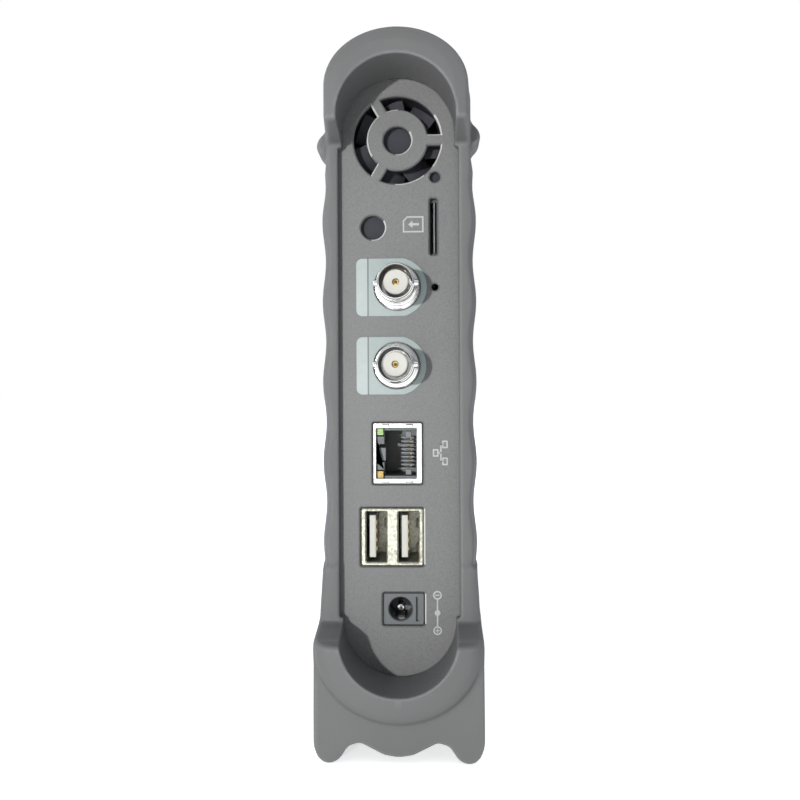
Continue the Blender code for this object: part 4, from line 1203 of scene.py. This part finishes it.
def bladeTree():
    # a bent, leaning blade at each turn round the hub
    tree, given = startTree("fanBlades", fan)
    size = {
        "Size X": metres(tree, given["Chord"]),
        "Size Y": metres(tree, calculated(tree, "SUBTRACT", given["Reach"], given["Hub"])),
        "Vertices X": 10,
        "Vertices Y": 8,
    }
    grid = step(tree, "GeometryNodeMeshGrid", size)
    along = separated(tree, step(tree, "GeometryNodeInputPosition"))["X"]
    bend = calculated(tree, "MULTIPLY", calculated(tree, "MULTIPLY", along, along), given["Bend"])
    bent = step(tree, "GeometryNodeSetPosition", {"Geometry": grid, "Offset": vector(tree, Z=bend)})
    sheet = {"Mesh": bent, "Offset Scale": 0.6 * mm, "Individual": False}
    solid = step(tree, "GeometryNodeExtrudeMesh", sheet)
    back = step(tree, "GeometryNodeFlipFaces", {"Mesh": bent})
    whole = step(tree, "GeometryNodeJoinGeometry")
    tree.links.new(solid, whole.node.inputs[0])
    tree.links.new(back, whole.node.inputs[0])
    merged = step(tree, "GeometryNodeMergeByDistance", {"Geometry": whole, "Distance": 0.00001})
    # lean the blade about its own length, then carry it out from the hub
    leaned = transformed(tree, merged, Rotation=vector(tree, Y=given["Lean"]))
    out = metres(tree, calculated(tree, "ADD", given["Reach"], given["Hub"]))
    carried = transformed(tree, leaned, Translation=vector(tree, Y=calculated(tree, "MULTIPLY", out, 0.5)))
    turn = calculated(tree, "DIVIDE", 2 * math.pi, given["Blades"])
    angle = calculated(tree, "MULTIPLY", step(tree, "GeometryNodeInputIndex"), turn)
    points = lineOf(tree, given["Blades"], (0, 0, 0))
    return endTree(tree, instanced(tree, points, carried, vector(tree, X=angle)), "fan")


def makeFan():
    low, high = corners("fan_rotor")
    centre = middle("fan_rotor")
    blades = grown("fanBlades", bladeTree(), fan)
    work = workOn(blades.data)
    bmesh.ops.remove_doubles(work, verts=work.verts, dist=1e-6)
    bmesh.ops.recalc_face_normals(work, faces=work.faces)
    endWork(work, blades.data)
    moved(blades, centre)
    h = fan["Hub"] + 0.2
    front, back = high[0], low[0]
    profile = [(back, 1.5), (back, h), (front - 0.9, h), (front - 0.25, h - 0.25), (front, h - 0.9)]
    profile += [(front, 3.6), (front - 0.12, 3.5), (front - 0.12, 0.02)]
    profile += [(back + 0.6, 0.02), (back + 0.6, 1.5)]
    hub = turnedX("fanHub", profile, centre[1:], "fan", 48)
    placed(joined("fanRotor", [hub, blades]), "black_plastic", "fan_rotor", body="fan_rotor")
    refined("fan_frame", "fan", 0.2, "black_plastic")


makeFan()
print("fan made")


def makeAntennaHoleShade():
    # painted shade: a dark disc a little behind the round opening keeps the hole dark
    y, z, radius = panel["antennaHole"]
    inner = panelX - 2.3
    profile = [(inner - 0.5, 0), (inner - 0.5, radius + 1), (inner, radius + 1), (inner, 0)]
    placed(turnedX("antennaHoleShade", profile, (y, z), "fan", 40, closed=False), "black_plastic")


makeAntennaHoleShade()


def makeCardTongue():
    # contact tongue showing in the card slot
    y, z = middle("card_socket")[1:]
    inner = panelX - 2.2
    spot = (inner - 2, y - 0.05, z - 6.6), (inner, y + 0.4, z + 6.6)
    placed(blockOf("cardTongue", *spot, "greyPlastic", 0.08), "black_plastic")


makeCardTongue()


# Display side
refined("display_glass", "glass", display["bevel"], "display_glass")
refined("front_case", "case", 0.25, "case_plastic")
keys = {"bevel": 0.45, "lift": 0.05, "size": 1.1, "ring": 2.5, "line": 0.55}


def keyMark(name, node, outlines):
    mark = plateOf(name, outlines, -0.01, keys["lift"], 0, "mark")
    # the plate lies across X: turn it to face -Y at the key's front
    front = corners(node)[0][1]
    mark.data.transform(Matrix(((0, 1, 0, 0), (-1, 0, 0, front * mm), (0, 0, 1, 0), (0, 0, 0, 1))))
    placed(mark, "label_print", body=node)


def makeKeys():
    size, ring = keys["size"], keys["ring"]
    for number in range(1, 6):
        node = f"function_key_{number}"
        refined(node, "key", keys["bevel"], "key_rubber", body=node)
        x, _, z = middle(node)
        places = [x + (k - (number - 1) / 2) * 2 * size for k in range(number)]
        dots = [ringPoints((place, z), size * 0.42, 20) for place in places]
        keyMark(f"functionKeyMark{number}", node, dots)
    refined("power_key", "key", keys["bevel"], "key_rubber", body="power_key")
    x, _, z = middle("power_key")
    arc = arcPoints((x, z), ring, 120, 420, 40) + arcPoints((x, z), ring - keys["line"], 420, 120, 40)
    keyMark("powerKeyMark", "power_key", [arc, bar(x, z + 1.7, 0.5, 2.6)])


makeKeys()
print("display side made")


# Rear side
refined("rear_case", "case", 0.25, "case_plastic")
refined("battery_cover", "case", 0.3, "case_plastic")
refined("kickstand", "case", 0.3, "case_plastic", body="kickstand")
ribs = {"Count": 7, "Pitch": 1.8, "Length": 22.0, "Width": 0.9}
standRibs = dict(ribs, Count=5, Length=60.0)


def ribTree():
    tree, given = startTree("gripRibs", ribs)
    length = metres(tree, given["Length"])
    ends = [vector(tree, X=calculated(tree, "MULTIPLY", length, side)) for side in (-0.5, 0.5)]
    path = step(tree, "GeometryNodeCurvePrimitiveLine", dict(zip(("Start", "End"), ends)))
    rib = tube(tree, path, 10, calculated(tree, "MULTIPLY", metres(tree, given["Width"]), 0.5))
    return endTree(tree, instanced(tree, rowAlongZ(tree, given), rib), "case")


def makeRibs():
    tree = ribTree()
    x, top = middle("battery_cover")[0], corners("battery_cover")[1]
    place = (x, top[1] - 0.2, top[2] - 4 - ribs["Pitch"] * (ribs["Count"] - 1))
    placed(moved(grown("coverGrip", tree, ribs), place), "case_plastic")
    low, high = corners("kickstand")
    place = (middle("kickstand")[0], high[1] - 0.42, low[2] + 10)
    placed(moved(grown("standGrip", tree, standRibs), place), "case_plastic", body="kickstand")


makeRibs()


# Screws
screws = {"Radius": 2.5, "Height": 1.5, "Slot": 0.55, "Depth": 1.1}
smallScrews = {"Radius": 1.5, "Height": 1.2, "Slot": 0.4, "Depth": 0.8}


def screwTree():
    # a low domed head with a crossed recess, one on each point, facing +Y
    tree, given = startTree("screwHeads", screws)
    radius = metres(tree, given["Radius"])
    height = metres(tree, given["Height"])
    size = {"Vertices": 40, "Side Segments": 1, "Radius": radius, "Depth": height}
    drum = step(tree, "GeometryNodeMeshCylinder", size)
    curve = calculated(tree, "MULTIPLY", radius, 1.9)
    top = calculated(tree, "MULTIPLY", height, 0.5)
    ball = step(tree, "GeometryNodeMeshUVSphere", {"Segments": 40, "Rings": 24, "Radius": curve})
    dome = transformed(tree, ball, Translation=vector(tree, Z=calculated(tree, "SUBTRACT", top, curve)))
    head = step(tree, "GeometryNodeMeshBoolean", {"Mesh 2": drum}, operation="INTERSECT")
    tree.links.new(dome, head.node.inputs["Mesh 2"])
    long = calculated(tree, "MULTIPLY", radius, 1.15)
    width = metres(tree, given["Slot"])
    depth = metres(tree, given["Depth"])
    lift = vector(tree, Z=top)
    first = transformed(tree, cube(tree, long, width, depth), Translation=lift)
    second = transformed(tree, cube(tree, width, long, depth), Translation=lift)
    cut = step(tree, "GeometryNodeMeshBoolean", {"Mesh 1": head, "Mesh 2": first}, operation="DIFFERENCE")
    tree.links.new(second, cut.node.inputs["Mesh 2"])
    turned = transformed(tree, cut, Rotation=(-math.pi / 2, 0, 0))
    return endTree(tree, instanced(tree, given["Places"], turned), "steel")


def makeScrews(name, tree, group, sizes):
    places = []
    shanks = []
    for node in group:
        x, _, z = middle(node)
        inner, top = (corner[1] for corner in corners(node))
        places.append((x, top - sizes["Height"] / 2, z))
        outline = ringPoints((x, z), sizes["Radius"] * 0.48, 16)
        rings = [[(px, y, pz) for px, pz in outline] for y in (inner, top - sizes["Height"] + 0.05)]
        shanks.append(skin("screwShank", rings, "steel"))
    heads = grown(name, tree, sizes, places)
    placed(joined(name, [heads] + shanks), "steel", *group)


headTree = screwTree()
makeScrews("caseScrewHeads", headTree, [f"case_screw_{number}" for number in range(1, 5)], screws)
makeScrews("coverScrewHeads", headTree, ["cover_screw_left", "cover_screw_right"], smallScrews)
for side in ("left", "right"):
    refined(f"stand_pin_{side}", "steel", 0.12, "steel")
print("rear side made")


# Test ports
ports = {"thread": 7.35, "bore": 4.1, "nut": 10.0, "nutHeight": 3.0, "nutHole": 8.25}
thread = {"Turns": 8.0, "Pitch": 1.06, "Radius": 7.45, "Tooth": 0.42}


def threadTree():
    tree, given = startTree("portThread", thread)
    radius = metres(tree, given["Radius"])
    height = calculated(tree, "MULTIPLY", given["Turns"], metres(tree, given["Pitch"]))
    size = {"Rotations": given["Turns"], "Start Radius": radius, "End Radius": radius, "Height": height}
    path = step(tree, "GeometryNodeCurveSpiral", {"Resolution": 48, **size})
    tooth = tube(tree, path, 6, metres(tree, given["Tooth"]))
    return endTree(tree, transformed(tree, tooth, Rotation=(0, -math.pi / 2, 0)), "chrome")


def hexPoints(centre, radius):
    # a six-sided nut with slightly rounded corners
    points = []
    for corner in range(6):
        for turn in (-8, -3, 3, 8):
            here = math.radians(60 * corner) + math.radians(turn)
            flat = radius * math.cos(math.radians(30)) / math.cos(math.radians(30 - abs(turn)))
            reach = min(flat, radius - 0.12)
            points.append((centre[0] + reach * math.cos(here), centre[1] + reach * math.sin(here)))
    return points


def makePort(number, tree):
    centre = middle(f"port_{number}_contact")[1:]
    (tip, _, _), (base, _, _) = corners(f"port_{number}_shell")
    start = -panelX
    b, t = ports["bore"], ports["thread"]
    profile = [(tip, 5.6), (tip + 0.12, 7.0), (tip + 0.8, t), (start - 3.9, t), (start - 3.6, 7.75)]
    profile += [(start - 3.2, 7.85), (start - 0.3, 7.85), (start - 0.3, 6.0), (base, 6.0)]
    profile += [(base, 3.1), (start - 2.0, 3.1), (start - 2.0, b), (tip + 2.5, b)]
    profile += [(tip + 0.3, 4.3), (tip, 4.6)]
    helix = moved(grown("portThread", tree, thread), (tip + 9.5, *centre))
    shell = turnedX(f"portShell{number}", profile, centre, "chrome", 96)
    placed(joined(f"portShell{number}", [shell, helix]), "steel", f"port_{number}_shell")
    outlines = [hexPoints(centre, ports["nut"]), ringPoints(centre, ports["nutHole"], 64)]
    nut = plateOf(f"portNut{number}", outlines, start - 0.3 - ports["nutHeight"], start - 0.3, 0.3, "chrome")
    placed(nut, "steel", f"port_{number}_nut")
    node = f"port_{number}_insulator"
    (low, _, _), (high, _, _) = corners(node)
    profile = [(low, 1.75), (low, 2.6), (low + 0.2, 2.8), (high, 2.8), (high, 1.75)]
    turnedPiece(node, f"portInsulator{number}", profile, centre, "ivory", 48, "white_plastic")
    node = f"port_{number}_contact"
    (low, _, _), (high, _, _) = corners(node)
    profile = [(high, 0.4), (high, 1.45), (low + 0.3, 1.45), (low, 1.2), (low, 0.85), (low + 0.3, 0.75)]
    profile += [(low + 5, 0.75), (low + 5, 0.4)]
    turnedPiece(node, f"portContact{number}", profile, centre, "brass", 40, "gold")


def makePortEnd():
    low, high = corners("port_panel")
    outlines = [archOutline("port_panel")]
    for number in (1, 2):
        outlines.append(ringPoints(middle(f"port_{number}_contact")[1:], panel["portHole"], 56))
    plate = plateOf("portPanel", outlines, low[0], high[0], panel["chamfer"], "paint", "bareEdgeHighlight")
    placed(plate, "panel_paint", "port_panel")
    tree = threadTree()
    for number in (1, 2):
        makePort(number, tree)


makePortEnd()
print("port end made")

# Inner parts, shown as the CAD nodes themselves
inside = {
    "display_gasket": "blackPlastic",
    "lcd_module": "blackPlastic",
    "keypad_board": "board",
    "main_board": "board",
    "io_board": "board",
    "rf_board": "board",
    "rf_shield": "shield",
    "battery_pack": "battery",
}
for node, finish in inside.items():
    paint(nodes[node].data, finish)
print("inside finished")


makeBoot()
print("boot made")


# Camera and light
view = {"place": (345, 8.5, 90), "turn": 2.07, "drop": 0.13, "roll": -0.25, "focal": 885}
keyLight = {"away": 1400, "aside": 20.3, "height": 40, "size": 0.05, "power": 20.5}
fillLight = {"base": 0.26, "above": 0.84, "side": 0.3, "colour": (0.90, 0.955, 1.04)}
softboxes = {
    "size": 1.2,
    "rear": {"place": (-0.9, 1.5, 0.9), "power": 4},
    "front": {"place": (-0.7, -1.6, 0.8), "power": 10},
}
table = {"reach": 30000, "drop": 0.05, "glow": 0.62}


def makeCamera():
    camera = bpy.data.objects.new("camera", bpy.data.cameras.new("camera"))
    scene.collection.objects.link(camera)
    camera.data.sensor_width = 36
    camera.data.lens = 36 * view["focal"] / 800
    camera.location = [c * mm for c in view["place"]]
    turn = math.radians(view["turn"])
    looking = Vector((-math.cos(turn), -math.sin(turn), -math.tan(math.radians(view["drop"]))))
    camera.rotation_mode = "QUATERNION"
    aimed = looking.to_track_quat("-Z", "Y")
    camera.rotation_quaternion = aimed @ Quaternion((0, 0, 1), math.radians(view["roll"]))
    camera.data.clip_start = 0.01
    scene.camera = camera


def makeLamp(name, place, target, size, power):
    lamp = bpy.data.objects.new(name, bpy.data.lights.new(name, "AREA"))
    scene.collection.objects.link(lamp)
    lamp.location = place
    lamp.rotation_mode = "QUATERNION"
    lamp.rotation_quaternion = (target - lamp.location).to_track_quat("-Z", "Y")
    lamp.data.shape = "DISK"
    lamp.data.size = size
    lamp.data.energy = power
    lamp.visible_camera = False


def makeLamps():
    side = math.radians(keyLight["aside"])
    target = Vector((panelX, 0, 90)) * mm
    place = target + Vector((math.cos(side), -math.sin(side), 0)) * keyLight["away"] * mm
    place.z += keyLight["height"] * mm
    makeLamp("keyLight", place, target, keyLight["size"], keyLight["power"])
    for end in ("rear", "front"):
        box = softboxes[end]
        makeLamp(end + "Softbox", box["place"], Vector((0, 0, 0.09)), softboxes["size"], box["power"])


def makeFill():
    # the camera sees a white backdrop; the object gets a cooler light, stronger from above and the front
    world = bpy.data.worlds.new("studio")
    scene.world = world
    world.use_nodes = True
    tree = world.node_tree
    backdrop = tree.nodes["Background"]
    backdrop.inputs["Color"].default_value = (1, 1, 1, 1)
    parts = separated(tree, tree.nodes.new("ShaderNodeTexCoord").outputs["Generated"])
    above = calculated(tree, "MAXIMUM", parts["Z"])
    above = calculated(tree, "MULTIPLY", above, fillLight["above"])
    aside = calculated(tree, "MAXIMUM", calculated(tree, "MULTIPLY", parts["Y"], -1))
    aside = calculated(tree, "MULTIPLY", calculated(tree, "POWER", aside, 2), fillLight["side"])
    total = calculated(tree, "ADD", calculated(tree, "ADD", above, aside), fillLight["base"])
    fill = step(tree, "ShaderNodeBackground", {"Color": (*fillLight["colour"], 1), "Strength": total})
    seen = tree.nodes.new("ShaderNodeLightPath").outputs["Is Camera Ray"]
    shown = step(tree, "ShaderNodeMixShader", {0: seen, 1: fill, 2: backdrop.outputs[0]})
    tree.links.new(shown, tree.nodes["World Output"].inputs["Surface"])
    scene.view_settings.view_transform = "Standard"


def makeFloor():
    reach, level = table["reach"], -table["drop"]
    outline = [(x * reach, y * reach, level) for x, y in ((-1, -1), (1, -1), (1, 1), (-1, 1))]
    glow = finishes["floor"].node_tree.nodes["Principled BSDF"]
    glow.inputs["Emission Color"].default_value = (1, 1, 1, 1)
    glow.inputs["Emission Strength"].default_value = table["glow"]
    meshOf("floor", outline, [(0, 1, 2, 3)], "floor")


makeCamera()
makeLamps()
makeFill()
makeFloor()
